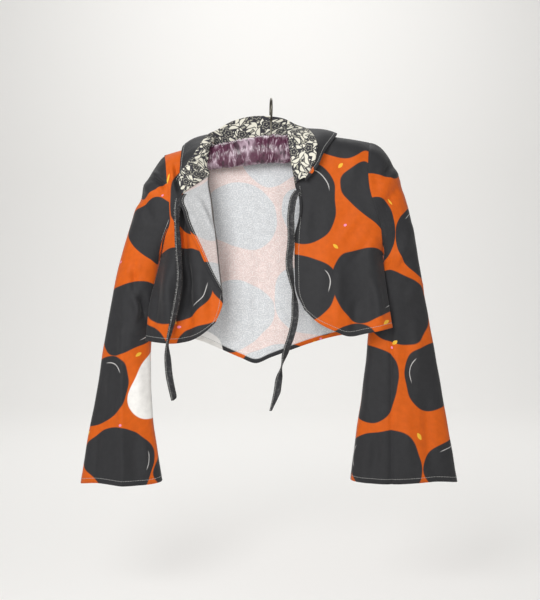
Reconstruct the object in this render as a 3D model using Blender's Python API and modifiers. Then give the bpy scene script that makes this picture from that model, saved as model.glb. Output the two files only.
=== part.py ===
"""Cropped jacket with flared sleeves, hanging open on a padded hanger.

Metres, with +Z up, the front towards -Y and the viewer's right at +X.
The wearer's right side is at -X. The origin is the bearing point inside the top of the hook.
"""

import math

import bpy
import numpy as np

# Cloth and seams
CLOTH_WALL = 0.0014
SEAM_GAP = 0.0007
SLEEVE_GAP = 0.0010

# Padded hanger: an arched sausage that tilts with the jacket's weight
HANGER_HALF_LENGTH = 0.186
HANGER_TOP = -0.0925
HANGER_ARCH = 0.3176
HANGER_ARCH_POWER = 1.4
HANGER_TILT = 0.0535
HANGER_HEIGHT = 0.0555
HANGER_END_HEIGHT = 0.0355
HANGER_HALF_DEPTH = 0.0205
HANGER_END_HALF_DEPTH = 0.0160
HANGER_END_ROUND = 0.022

# Hook wire, bent across the hanger and turned a little about its shank.
# The heights in this file are measured from a level that lies HOOK_DROP above the bearing point,
# and each mesh is raised by that
HOOK_DROP = 0.0296
HOOK_TURN = 4.0
HOOK_WIRE_RADIUS = 0.0018
HOOK_BEND_RADIUS = 0.0190
HOOK_SEAT_GAP = 0.0005
HOOK_TIP_ANGLE = -35.0

# How the cloth rolls over the hanger and hangs below it
SHOULDER_RISE = 0.0030
ROLL_DROP = 0.032
FRONT_DEPTH = 0.0285
FRONT_SWING = 0.011
BACK_DEPTH = 0.0265
BACK_SWING = 0.006
BODY_DROP = 0.36

# Neck points on the shoulder line, and the dip of the back neck between them
NECK_RIGHT_X = -0.109
NECK_LEFT_X = 0.030
BACK_NECK_DIP = 0.020

# Rows of the panels, as shares from the shoulder to the underarm and on to the hem
ARMHOLE_ROWS = (0, 0.014, 0.042, 0.085, 0.14, 0.20, 0.26, 0.30, 0.345, 0.40, 0.47, 0.56, 0.65, 0.74, 0.83, 0.92, 1)
SIDE_ROWS = (0.2, 0.4, 0.6, 0.8, 1)
ARMHOLE_SHARE = 0.64

# Side lines, from the shoulder point by the armhole and the underarm to the hem.
# Columns: height, x, depth of the front edge, depth of the back edge
SIDE_LEFT = np.array([
    (-0.109, 0.1810, 0.000, 0.000),
    (-0.122, 0.1785, -0.018, 0.017),
    (-0.145, 0.1765, -0.028, 0.026),
    (-0.170, 0.1762, -0.031, 0.029),
    (-0.198, 0.1790, -0.033, 0.030),
    (-0.227, 0.1870, -0.033, 0.030),
    (-0.254, 0.1965, -0.029, 0.027),
    (-0.290, 0.2030, -0.018, 0.019),
    (-0.318, 0.2060, 0.000, 0.002),
    (-0.363, 0.2095, -0.013, -0.013),
    (-0.400, 0.2140, -0.018, -0.018),
    (-0.450, 0.2215, -0.021, -0.021),
])
SIDE_RIGHT = np.array([
    (-0.134, -0.1970, 0.000, 0.000),
    (-0.146, -0.1930, -0.018, 0.017),
    (-0.166, -0.1905, -0.028, 0.026),
    (-0.191, -0.1885, -0.032, 0.029),
    (-0.227, -0.1845, -0.033, 0.030),
    (-0.258, -0.1850, -0.031, 0.028),
    (-0.285, -0.1925, -0.023, 0.021),
    (-0.322, -0.2030, 0.000, 0.002),
    (-0.360, -0.2115, -0.010, -0.010),
    (-0.400, -0.2210, -0.014, -0.014),
    (-0.474, -0.2290, -0.017, -0.017),
])
UNDERARM_LEFT = 8
UNDERARM_RIGHT = 7

# Neckline and front edge of each front, laid flat. Columns: height, x
EDGE_LEFT = np.array([
    (-0.092, 0.0300),
    (-0.125, 0.0330),
    (-0.155, 0.0375),
    (-0.190, 0.0435),
    (-0.225, 0.0465),
    (-0.289, 0.0430),
    (-0.350, 0.0430),
    (-0.384, 0.0455),
    (-0.417, 0.0600),
])
EDGE_RIGHT = np.array([
    (-0.110, -0.1090),
    (-0.140, -0.1140),
    (-0.165, -0.1130),
    (-0.178, -0.0960),
    (-0.195, -0.0570),
    (-0.229, -0.0490),
    (-0.260, -0.0510),
    (-0.292, -0.0578),
    (-0.345, -0.0690),
    (-0.389, -0.0826),
    (-0.414, -0.0893),
    (-0.440, -0.1000),
])

# Hems from the side to the rounded front corner, or across the pointed back. Columns: x, height
HEM_LEFT = np.array([
    (0.2215, -0.450),
    (0.1750, -0.460),
    (0.1370, -0.465),
    (0.1150, -0.456),
    (0.0790, -0.436),
    (0.0600, -0.417),
])
HEM_RIGHT = np.array([
    (-0.2290, -0.474),
    (-0.1980, -0.477),
    (-0.1690, -0.478),
    (-0.1360, -0.469),
    (-0.1180, -0.457),
    (-0.1000, -0.440),
])
HEM_BACK = np.array([
    (-0.2290, -0.474),
    (-0.1410, -0.474),
    (-0.0870, -0.496),
    (-0.0560, -0.509),
    (-0.0290, -0.519),
    (-0.0010, -0.508),
    (0.0390, -0.493),
    (0.0940, -0.475),
    (0.1680, -0.459),
    (0.2215, -0.450),
])

# Right front turned out along its roll line. Columns: height, x
LAPEL_ROLL = np.array([
    (-0.480, -0.0830),
    (-0.392, -0.0915),
    (-0.320, -0.0995),
    (-0.272, -0.1050),
    (-0.219, -0.1120),
    (-0.172, -0.1165),
    (-0.150, -0.108),
    (-0.110, -0.085),
])
LAPEL_ROLL_RADIUS = 0.0045
LAPEL_TURN = 170.0
LAPEL_SLANT = 0.27
LAPEL_LEAST_WIDTH = 0.012

# Largest folds of the fronts and back, as soft ridges and troughs that start at a height and grow to the hem.
# Columns: x at the start, x at the hem, height of the start, half width, rise out of the panel
FOLDS_LEFT = (
    (0.105, 0.098, -0.200, 0.022, 0.006),
    (0.150, 0.160, -0.230, 0.024, -0.006),
)
FOLDS_RIGHT = (
    (-0.150, -0.158, -0.230, 0.013, -0.012),
    (-0.176, -0.188, -0.220, 0.016, 0.008),
)
FOLDS_BACK = (
    (-0.080, -0.100, -0.180, 0.030, 0.008),
    (0.010, 0.020, -0.200, 0.034, -0.007),
    (0.090, 0.110, -0.180, 0.030, 0.008),
)

# Sleeve sections below the underarm.
# Columns: height, outer x, inner x, middle depth, half depth, x of the front ridge, rise of the ridge
SLEEVE_LEFT = np.array([
    (-0.364, 0.2810, 0.2020, 0.016, 0.026, 0.235, 0.000),
    (-0.400, 0.2880, 0.1930, 0.021, 0.026, 0.228, 0.003),
    (-0.444, 0.2970, 0.1850, 0.025, 0.026, 0.225, 0.008),
    (-0.501, 0.3070, 0.1800, 0.026, 0.027, 0.224, 0.012),
    (-0.556, 0.3175, 0.1755, 0.026, 0.028, 0.224, 0.013),
    (-0.614, 0.3275, 0.1660, 0.025, 0.028, 0.223, 0.013),
    (-0.675, 0.3380, 0.1575, 0.024, 0.029, 0.222, 0.012),
    (-0.737, 0.3480, 0.1500, 0.022, 0.030, 0.222, 0.011),
])
SLEEVE_RIGHT = np.array([
    (-0.350, -0.2870, -0.2090, 0.014, 0.026, -0.255, 0.000),
    (-0.395, -0.2960, -0.2165, 0.019, 0.026, -0.258, 0.004),
    (-0.441, -0.3050, -0.2230, 0.022, 0.026, -0.262, 0.007),
    (-0.501, -0.3150, -0.2270, 0.023, 0.027, -0.266, 0.009),
    (-0.560, -0.3255, -0.2265, 0.023, 0.028, -0.270, 0.010),
    (-0.619, -0.3350, -0.2230, 0.022, 0.028, -0.272, 0.010),
    (-0.683, -0.3460, -0.2130, 0.021, 0.029, -0.272, 0.009),
    (-0.739, -0.3550, -0.2050, 0.020, 0.030, -0.272, 0.008),
])
SLEEVE_RIDGE_WIDTH = 0.022
SLEEVE_CAP_RINGS = (0, 0.07, 0.18, 0.32, 0.48, 0.66, 0.83)

# Points that the sleeve head is drawn towards. Columns: x, depth, height
HEAD_OUTER_LEFT = (0.244, 0.000, -0.110)
HEAD_OUTER_RIGHT = (-0.239, 0.000, -0.170)
HEAD_INNER_LEFT = (0.213, 0.014, -0.331)
HEAD_INNER_RIGHT = (-0.211, 0.014, -0.335)
HEAD_PUFF = 0.006
UNDERARM_CLEAR = 0.0016

# Collar from the right front corner round the back neck to the left front corner.
# Columns: place on the neckline (0 right corner, 1 right neck point, 2 left neck point, 3 left corner),
# forward and upward step of the seam from the neckline; x, depth, height of the fold; of the leaf's free edge
COLLAR = np.array([
    (0.00, 0.0018, 0.0000, -0.1660, -0.0600, -0.1840, -0.1720, -0.0550, -0.1890),
    (0.33, 0.0018, 0.0000, -0.1520, -0.0600, -0.1640, -0.1640, -0.0500, -0.1780),
    (0.62, 0.0020, 0.0004, -0.1400, -0.0530, -0.1480, -0.1640, -0.0460, -0.1650),
    (0.82, 0.0022, 0.0012, -0.1290, -0.0380, -0.1230, -0.1630, -0.0400, -0.1450),
    (1.00, 0.0010, 0.0024, -0.1160, -0.0040, -0.0970, -0.1600, -0.0080, -0.1150),
    (1.14, 0.0000, 0.0020, -0.1000, 0.0190, -0.0830, -0.1420, 0.0420, -0.1260),
    (1.28, 0.0000, 0.0016, -0.0720, 0.0310, -0.0640, -0.1000, 0.0550, -0.1240),
    (1.50, 0.0000, 0.0014, -0.0320, 0.0340, -0.0540, -0.0320, 0.0600, -0.1220),
    (1.72, 0.0000, 0.0016, 0.0160, 0.0300, -0.0575, 0.0380, 0.0560, -0.1170),
    (1.86, 0.0000, 0.0020, 0.0450, 0.0190, -0.0720, 0.0860, 0.0440, -0.1100),
    (2.00, 0.0012, 0.0029, 0.0690, -0.0060, -0.0865, 0.1215, -0.0060, -0.0930),
    (2.38, 0.0030, 0.0016, 0.0800, -0.0430, -0.1150, 0.0960, -0.0410, -0.1330),
    (2.68, 0.0020, 0.0004, 0.0760, -0.0500, -0.1490, 0.0840, -0.0450, -0.1590),
    (3.00, 0.0018, 0.0000, 0.0580, -0.0480, -0.1800, 0.0620, -0.0440, -0.1860),
])
CORNER_ROW_RIGHT = 9
CORNER_ROW_LEFT = 10
COLLAR_ALONG = 44
COLLAR_ACROSS = 5
STAND_BULGE = 0.002
LEAF_START = 0.0019
LEAF_BULGE = 0.006

# Ties sewn to the front corners. Columns: x, depth, height, turn of the flat side in degrees
TIE_WIDTH = 0.013
TIE_WALL = 0.0016
TIE_LEFT = np.array([
    (0.0490, -0.0345, -0.2010, 0),
    (0.0400, -0.0400, -0.2180, -12),
    (0.0355, -0.0470, -0.2500, 0),
    (0.0360, -0.0485, -0.2920, 15),
    (0.0325, -0.0480, -0.3310, -5),
    (0.0360, -0.0475, -0.3600, 40),
    (0.0405, -0.0470, -0.3850, 68),
    (0.0430, -0.0470, -0.4100, 20),
    (0.0425, -0.0465, -0.4350, 0),
    (0.0360, -0.0455, -0.4640, 12),
    (0.0265, -0.0450, -0.4920, 30),
    (0.0190, -0.0445, -0.5190, 82),
    (0.0140, -0.0440, -0.5430, 22),
    (0.0105, -0.0440, -0.5680, 8),
    (0.0035, -0.0440, -0.5990, 10),
])
TIE_RIGHT = np.array([
    (-0.1650, -0.0524, -0.2180, 4),
    (-0.1678, -0.0582, -0.2420, 38),
    (-0.1675, -0.0592, -0.2670, 56),
    (-0.1660, -0.0594, -0.2940, 44),
    (-0.1645, -0.0590, -0.3220, 46),
    (-0.1628, -0.0585, -0.3500, 54),
    (-0.1645, -0.0580, -0.3790, 46),
    (-0.1695, -0.0575, -0.4090, 40),
    (-0.1750, -0.0570, -0.4350, 50),
    (-0.1810, -0.0590, -0.4600, 65),
    (-0.1850, -0.0590, -0.4800, 78),
    (-0.1845, -0.0540, -0.5080, 35),
    (-0.1820, -0.0480, -0.5400, 25),
    (-0.1735, -0.0470, -0.5800, 40),
])

# Colours: linear red, green, blue, roughness, metallic
PRINT_CLOTH = (0.72, 0.13, 0.02, 0.85, 0.0)
FLORAL_CLOTH = (0.55, 0.53, 0.42, 0.85, 0.0)
TIE_CLOTH = (0.03, 0.03, 0.03, 0.80, 0.0)
SATIN = (0.13, 0.04, 0.09, 0.35, 0.0)
STEEL = (0.55, 0.55, 0.52, 0.30, 1.0)


def smooth(at, knots, values):
    """Values at the given places on the smooth curve through the knots, which may rise or fall."""
    knots = np.asarray(knots, float)
    values = np.asarray(values, float)
    if knots[0] > knots[-1]:
        knots = knots[::-1]
        values = values[::-1]
    slopes = np.gradient(values, knots, axis=0)
    at = np.clip(np.asarray(at, float), knots[0], knots[-1])
    low = np.clip(np.searchsorted(knots, at) - 1, 0, len(knots) - 2)
    step = knots[low + 1] - knots[low]
    t = (at - knots[low]) / step
    if values.ndim > 1:
        t = t[..., None]
        step = step[..., None]
    start = (1 + 2 * t) * (1 - t) ** 2 * values[low] + t * (1 - t) ** 2 * step * slopes[low]
    end = t ** 2 * (3 - 2 * t) * values[low + 1] + t ** 2 * (t - 1) * step * slopes[low + 1]
    return start + end


def hanger_top(x):
    """Height of the hanger's upper line."""
    return HANGER_TOP - HANGER_ARCH * np.abs(x) ** HANGER_ARCH_POWER + HANGER_TILT * x


def shoulder_line(x):
    """Height of the cloth where it lies on the hanger."""
    return hanger_top(x) + SHOULDER_RISE


def rolled(x, z, depth, swing):
    """Distance of a panel from the hanger's middle plane, rounding over its top and swinging out below."""
    drop = np.maximum(shoulder_line(x) - z, 0)
    share = np.minimum(drop / ROLL_DROP, 1)
    return depth * np.sqrt(1 - (1 - share) ** 2) + swing * drop / BODY_DROP


def folds(x, z, table):
    """Sum of the soft folds of a panel, each growing from its start to the hem."""
    total = np.zeros_like(x)
    for start_x, hem_x, start_z, half_width, rise in table:
        down = np.clip((start_z - z) / 0.16, 0, 1)
        middle = start_x + (hem_x - start_x) * down
        total = total + rise * down * np.exp(-((x - middle) / half_width) ** 2)
    return total


def row_shares():
    """Share of each row from the shoulder to the hem."""
    upper = np.array(ARMHOLE_ROWS) * ARMHOLE_SHARE
    lower = ARMHOLE_SHARE + (1 - ARMHOLE_SHARE) * np.array(SIDE_ROWS)
    return np.concatenate([upper, lower])


def side_rows(table, underarm):
    """Height, x, front depth and back depth of the side line at each row."""
    top, middle, bottom = table[0, 0], table[underarm, 0], table[-1, 0]
    upper = top + (middle - top) * np.array(ARMHOLE_ROWS)
    lower = middle + (bottom - middle) * np.array(SIDE_ROWS)
    heights = np.concatenate([upper, lower])
    armhole = smooth(upper, table[:underarm + 1, 0], table[:underarm + 1, 1:])
    seam = smooth(lower, table[underarm:, 0], table[underarm:, 1:])
    rest = np.concatenate([armhole, seam])
    return np.column_stack([heights, rest])


def flat_patch(side, edge, top, hem, shares, across):
    """x and height over a four-sided panel, blended from its two side lines, its top and its hem.

    The blend is the sum of the two ruled surfaces less the one through the four corners.
    """
    def blend(column):
        down = shares[:, None]
        ruled_across = (1 - across) * side[:, column][:, None] + across * edge[:, column][:, None]
        top_line = np.interp(across, *top[column])
        hem_line = np.interp(across, *hem[column])
        top_chord = (1 - across) * side[0, column] + across * edge[0, column]
        hem_chord = (1 - across) * side[-1, column] + across * edge[-1, column]
        return ruled_across + (1 - down) * (top_line - top_chord) + down * (hem_line - hem_chord)
    return blend(0), blend(1)


def line_of(x, z):
    """A line as shares of its run along x, paired with its x and with its height."""
    share = (x - x[0]) / (x[-1] - x[0])
    return ((share, x), (share, z))


def side_blend(distance, reach, power):
    """1 at the side line, falling to 0 at the reach, rounded when the power is above 1."""
    return np.clip(1 - distance / reach, 0, 1) ** power


def front_panel(side_table, underarm, edge_table, hem_table, neck_x, fold_table, lapel):
    """Points of a front, in rows from the shoulder to the hem and columns from the side to the front edge."""
    shares = row_shares()
    side = side_rows(side_table, underarm)
    side_xz = side[:, [1, 0]]
    edge_z = edge_table[0, 0] + (edge_table[-1, 0] - edge_table[0, 0]) * shares
    edge_z[0] = shoulder_line(np.array(neck_x))
    edge_xz = np.column_stack([smooth(edge_z, edge_table[:, 0], edge_table[:, 1]), edge_z])
    top_x = np.linspace(side_xz[0, 0], neck_x, 25)
    top = line_of(top_x, shoulder_line(top_x))
    hem_x = np.linspace(hem_table[0, 0], hem_table[-1, 0], 60)
    hem = line_of(hem_x, smooth(hem_x, hem_table[:, 0], hem_table[:, 1]))
    if lapel:
        roll_x = smooth(edge_z, LAPEL_ROLL[:, 0], LAPEL_ROLL[:, 1])
        width = edge_xz[:, 0] - side_xz[:, 0]
        turn = np.minimum(roll_x - 0.001, edge_xz[:, 0] - LAPEL_LEAST_WIDTH) - side_xz[:, 0]
        turn = (turn / width)[:, None]
        body = np.array((0, 0.03, 0.08, 0.16, 0.27, 0.38, 0.49, 0.60, 0.71, 0.82, 0.92))
        flap = np.array((0, 0.07, 0.14, 0.21, 0.28, 0.36, 0.5, 0.66, 0.83, 1))
        across = np.hstack([turn * body, turn + (1 - turn) * flap])
    else:
        columns = np.array((0, 0.025, 0.065, 0.12, 0.19, 0.27, 0.35, 0.43, 0.51, 0.59, 0.67, 0.75, 0.83, 0.92, 1))
        across = np.tile(columns, (len(shares), 1))
    x, z = flat_patch(side_xz, edge_xz, top, hem, shares, across)
    y = -rolled(x, z, FRONT_DEPTH, FRONT_SWING) - folds(x, z, fold_table)
    near = side_blend(np.abs(x - x[:, :1]), 0.034, 2.2)
    y = y + (side[:, 2][:, None] - y) * near
    y[0] = 0
    y = y - SEAM_GAP
    if lapel:
        x, y, z = turned_out(x, y, z)
    return np.stack([x, y, z], axis=-1)


def left_front():
    """Points of the left front, which hangs plainly."""
    return front_panel(SIDE_LEFT, UNDERARM_LEFT, EDGE_LEFT, HEM_LEFT, NECK_LEFT_X, FOLDS_LEFT, False)


def right_front():
    """Points of the right front, with its edge turned out."""
    return front_panel(SIDE_RIGHT, UNDERARM_RIGHT, EDGE_RIGHT, HEM_RIGHT, NECK_RIGHT_X, FOLDS_RIGHT, True)


def turned_out(x, y, z):
    """The part of the right front beyond its roll line, bent forward round the line and laid back on the front."""
    past = np.maximum(x - smooth(z, LAPEL_ROLL[:, 0], LAPEL_ROLL[:, 1]), 0)
    most = math.radians(LAPEL_TURN)
    bent = np.minimum(past / LAPEL_ROLL_RADIUS, most)
    flat = np.maximum(past - LAPEL_ROLL_RADIUS * most, 0)
    along = LAPEL_ROLL_RADIUS * np.sin(bent) + flat * math.cos(most)
    lift = LAPEL_ROLL_RADIUS * (1 - np.cos(bent)) + flat * math.sin(most)
    return x - past + along, y - lift, z - LAPEL_SLANT * past * (1 - np.cos(bent)) / 2


def back_panel():
    """Points of the back, in rows from the shoulders to the hem and columns from the right side to the left."""
    shares = row_shares()
    right = side_rows(SIDE_RIGHT, UNDERARM_RIGHT)
    left = side_rows(SIDE_LEFT, UNDERARM_LEFT)
    top_x = np.linspace(right[0, 1], left[0, 1], 90)
    middle = (NECK_LEFT_X + NECK_RIGHT_X) / 2
    half = (NECK_LEFT_X - NECK_RIGHT_X) / 2
    dip = BACK_NECK_DIP * np.clip(1 - ((top_x - middle) / half) ** 2, 0, 1)
    top = line_of(top_x, shoulder_line(top_x) - dip)
    hem_x = np.linspace(HEM_BACK[0, 0], HEM_BACK[-1, 0], 90)
    hem = line_of(hem_x, smooth(hem_x, HEM_BACK[:, 0], HEM_BACK[:, 1]))
    columns = np.array((0, 0.015, 0.04, 0.085, 0.14, 0.19, 0.2328, 0.28, 0.33, 0.385, 0.44, 0.495,
                        0.556, 0.6005, 0.66, 0.72, 0.775, 0.835, 0.895, 0.95, 0.982, 1))
    across = np.tile(columns, (len(shares), 1))
    x, z = flat_patch(right[:, [1, 0]], left[:, [1, 0]], top, hem, shares, across)
    y = rolled(x, z, BACK_DEPTH, BACK_SWING) + folds(x, z, FOLDS_BACK)
    below = np.clip((shares - ARMHOLE_SHARE * 0.8) / 0.2, 0, 1)[:, None]
    for line, start in ((right, x[:, :1]), (left, x[:, -1:])):
        reach = 0.034 + 0.046 * below
        near = side_blend(np.abs(x - start), reach, 2.2 - 1.1 * below)
        y = y + (line[:, 3][:, None] - y) * near
    on_shoulder = dip_free(x[0], middle, half)
    y[0] = np.where(on_shoulder, 0, y[0])
    y = y + SEAM_GAP
    return np.stack([x, y, z], axis=-1)


def dip_free(x, middle, half):
    """Where the top row lies on a shoulder seam and not on the back neck."""
    return np.abs(x - middle) >= half - 0.001


def sleeve(side_table, underarm, sections, head_outer, head_inner):
    """Points of a sleeve, in rings from the armhole to the cuff.

    Each ring starts at the outer edge and runs by the front, the inner edge and the back.
    """
    outward = np.sign(side_table[0, 1])
    half = side_rows(side_table, underarm)[:len(ARMHOLE_ROWS)]
    front = half[:, [1, 2, 0]] + (0, -SEAM_GAP, 0)
    back = half[:, [1, 3, 0]] + (0, SEAM_GAP, 0)
    front[0, 1] = 0
    armhole = np.concatenate([front, back[-2:0:-1]])
    run = np.concatenate([[0], np.cumsum(np.linalg.norm(np.diff(front, axis=0), axis=1))])
    angle = math.pi * run / run[-1]
    angle = np.concatenate([angle, 2 * math.pi - angle[-2:0:-1]])
    low = (1 - np.cos(angle)) / 2
    armhole[:, 0] += outward * (SLEEVE_GAP + UNDERARM_CLEAR * low ** 2)
    rings = np.array([section(angle, row) for row in sections])
    first = rings[0]
    middle = (armhole + first) / 2
    top_pull = np.array(head_outer) - middle[0]
    foot = len(ARMHOLE_ROWS) - 1
    foot_pull = np.array(head_inner) - middle[foot]
    puff = np.zeros_like(middle)
    puff[:, 1] = -HEAD_PUFF * np.sin(angle)
    control = middle + (1 - low)[:, None] ** 1.6 * top_pull + low[:, None] ** 2.2 * foot_pull + puff
    t = np.array(SLEEVE_CAP_RINGS)[:, None, None]
    cap = (1 - t) ** 2 * armhole + 2 * t * (1 - t) * control + t ** 2 * first
    return np.concatenate([cap, rings])


def section(angle, row):
    """One level ring of a sleeve: a flattened oval with a soft ridge along its front."""
    height, outer, inner, middle, half_depth, ridge_x, ridge_rise = row
    x = (outer + inner) / 2 + (outer - inner) / 2 * np.cos(angle)
    wave = np.sin(angle)
    y = middle - half_depth * np.sign(wave) * np.abs(wave) ** 0.8
    ridge = ridge_rise * np.exp(-((x - ridge_x) / SLEEVE_RIDGE_WIDTH) ** 2)
    y = y - np.where(wave > 0, ridge, 0)
    return np.stack([x, y, np.full_like(x, height)], axis=-1)


def resampled(line, shares):
    """Points at the given shares of a line's own length."""
    run = np.concatenate([[0], np.cumsum(np.linalg.norm(np.diff(line, axis=0), axis=1))])
    return np.stack([np.interp(shares, run / run[-1], line[:, k]) for k in range(3)], axis=-1)


def neckline(place):
    """Points of the neckline at the given places, along the right front, the back neck and the left front."""
    back_row = back_panel()[0]
    inner = (back_row[:, 0] > NECK_RIGHT_X - 0.001) & (back_row[:, 0] < NECK_LEFT_X + 0.001)
    lines = (right_front()[CORNER_ROW_RIGHT::-1, -1], back_row[inner], left_front()[:CORNER_ROW_LEFT + 1, -1])
    part = np.minimum(place.astype(int), 2)
    points = np.zeros((len(place), 3))
    for k, line in enumerate(lines):
        points[part == k] = resampled(line, (place - k)[part == k])
    return points


def collar_lines():
    """Neck seam, fold and leaf edge of the collar at even steps along it."""
    at = np.linspace(0, len(COLLAR) - 1, COLLAR_ALONG)
    rows = smooth(at, np.arange(len(COLLAR)), COLLAR)
    step = np.stack([np.zeros(COLLAR_ALONG), -rows[:, 1], rows[:, 2]], axis=-1)
    return neckline(np.clip(rows[:, 0], 0, 3)) + step, rows[:, 3:6], rows[:, 6:9]


def unit(vectors):
    """Vectors made one long."""
    return vectors / np.linalg.norm(vectors, axis=-1, keepdims=True)


def collar_outward():
    """Direction out of the stand, towards the leaf, at each step along the collar."""
    seam, fold, leaf = collar_lines()
    out = unit(np.cross(np.gradient(fold, axis=0), fold - seam))
    towards = np.sign(np.sum(out * (leaf - fold), axis=1, keepdims=True))
    return out * towards


def collar_stand():
    """Points of the stand, from the neck seam up to the fold, with a slight bulge."""
    seam, fold, _ = collar_lines()
    share = np.linspace(0, 1, COLLAR_ACROSS)[None, :, None]
    bulge = 4 * share * (1 - share) * STAND_BULGE
    return seam[:, None] * (1 - share) + fold[:, None] * share - bulge * collar_outward()[:, None]


def collar_leaf():
    """Points of the leaf, from just outside the fold down to its free edge, arched upwards."""
    _, fold, leaf = collar_lines()
    start = fold + collar_outward() * LEAF_START
    share = np.linspace(0, 1, COLLAR_ACROSS + 1)[None, :, None]
    width = np.linalg.norm(leaf - fold, axis=1)[:, None, None]
    bulge = 4 * share * (1 - share) * np.minimum(LEAF_BULGE, 0.16 * width)
    up = unit(collar_outward() * 0.5 + np.array((0, 0, 1.0)))
    return start[:, None] * (1 - share) + leaf[:, None] * share + bulge * up[:, None]


def tie(table):
    """Points of a flat tie, three across, turned about its own run."""
    at = np.linspace(0, len(table) - 1, 3 * len(table) - 2)
    rows = smooth(at, np.arange(len(table)), table)
    turn = np.radians(rows[:, 3])
    across = np.stack([np.cos(turn), np.sin(turn), np.zeros_like(turn)], axis=-1)
    share = np.array((-0.5, 0, 0.5))[None, :, None]
    return rows[:, None, :3] + share * TIE_WIDTH * across[:, None]


def hanger_rings():
    """Points of the padded hanger, in oval rings from its right end to its left."""
    turn = np.radians(np.linspace(0, 180, 27))
    x = -HANGER_HALF_LENGTH * np.cos(turn)
    share = np.abs(x) / HANGER_HALF_LENGTH
    past = np.maximum(np.abs(x) - (HANGER_HALF_LENGTH - HANGER_END_ROUND), 0) / HANGER_END_ROUND
    rounding = np.sqrt(np.maximum(1 - past ** 2, 0.02))
    height = HANGER_HEIGHT + (HANGER_END_HEIGHT - HANGER_HEIGHT) * share ** 1.5
    depth = (HANGER_HALF_DEPTH + (HANGER_END_HALF_DEPTH - HANGER_HALF_DEPTH) * share) * rounding
    middle = hanger_top(x) - height / 2
    half = height / 2 * rounding
    angle = np.radians(np.arange(0, 360, 20))
    y = depth[:, None] * np.cos(angle)
    z = middle[:, None] + half[:, None] * np.sin(angle)
    return np.stack([np.repeat(x[:, None], len(angle), axis=1), y, z], axis=-1)


def hook_path():
    """Points of the hook's wire, up the shank, round the front and over the top to the tip, turned about the shank."""
    middle = HOOK_WIRE_RADIUS - HOOK_BEND_RADIUS - HOOK_DROP
    foot = HANGER_TOP + HOOK_SEAT_GAP
    low = middle - HOOK_BEND_RADIUS
    shank = [(0, 0, foot), (0, 0, (foot + low) / 2 - 0.008)]
    ease = [(0, -0.0012, low - 0.006), (0, -0.0040, low - 0.0005)]
    turn = np.radians(np.arange(-115, -360 + HOOK_TIP_ANGLE + 1, -15.0))
    bend = [(0, HOOK_BEND_RADIUS * math.cos(a), middle + HOOK_BEND_RADIUS * math.sin(a)) for a in turn]
    path = np.array(shank + ease + bend)
    facing = math.radians(HOOK_TURN)
    return np.stack([-path[:, 1] * math.sin(facing), path[:, 1] * math.cos(facing), path[:, 2]], axis=-1)


def clear_scene():
    """Empty the scene of every object."""
    for obj in list(bpy.data.objects):
        bpy.data.objects.remove(obj)


def material(name, values):
    """A plain surface of one colour."""
    made = bpy.data.materials.new(name)
    made.use_nodes = True
    surface = made.node_tree.nodes["Principled BSDF"]
    surface.inputs["Base Color"].default_value = (*values[:3], 1)
    surface.inputs["Roughness"].default_value = values[3]
    surface.inputs["Metallic"].default_value = values[4]
    return made


def add_mesh(name, points, faces, surface, collection):
    """One named object, raised to the part's own frame and shaded smooth."""
    mesh = bpy.data.meshes.new(name)
    mesh.from_pydata((points + (0, 0, HOOK_DROP)).tolist(), [], faces)
    mesh.polygons.foreach_set("use_smooth", [True] * len(mesh.polygons))
    mesh.materials.append(surface)
    obj = bpy.data.objects.new(name, mesh)
    collection.objects.link(obj)
    return obj


def grid_faces(rows, columns, closed):
    """Four-sided faces of a grid of points, closed round each row where it is a ring."""
    faces = []
    for i in range(rows - 1):
        for j in range(columns if closed else columns - 1):
            k = (j + 1) % columns
            faces.append((i * columns + j, i * columns + k, (i + 1) * columns + k, (i + 1) * columns + j))
    return faces


def cloth(name, grid, wall, surface, collection, closed=False):
    """A cloth piece: an open surface through the grid, given an even wall."""
    rows, columns, _ = grid.shape
    obj = add_mesh(name, grid.reshape(-1, 3), grid_faces(rows, columns, closed), surface, collection)
    shell = obj.modifiers.new("wall", "SOLIDIFY")
    shell.thickness = wall
    shell.offset = 0
    return obj


def padded_hanger(surface, collection):
    """The hanger's body, a closed loft with capped ends."""
    rings = hanger_rings()
    rows, columns, _ = rings.shape
    faces = grid_faces(rows, columns, True)
    faces.append(tuple(range(columns))[::-1])
    faces.append(tuple((rows - 1) * columns + j for j in range(columns)))
    return add_mesh("hanger_pad", rings.reshape(-1, 3), faces, surface, collection)


def wire_hook(surface, collection):
    """The hook, a round wire along its path."""
    curve = bpy.data.curves.new("hanger_hook", "CURVE")
    curve.dimensions = "3D"
    curve.bevel_depth = HOOK_WIRE_RADIUS
    curve.bevel_resolution = 2
    curve.use_fill_caps = True
    path = hook_path() + (0, 0, HOOK_DROP)
    spline = curve.splines.new("POLY")
    spline.points.add(len(path) - 1)
    for point, place in zip(spline.points, path):
        point.co = (*place, 1)
    curve.materials.append(surface)
    obj = bpy.data.objects.new("hanger_hook", curve)
    collection.objects.link(obj)
    return obj


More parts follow.
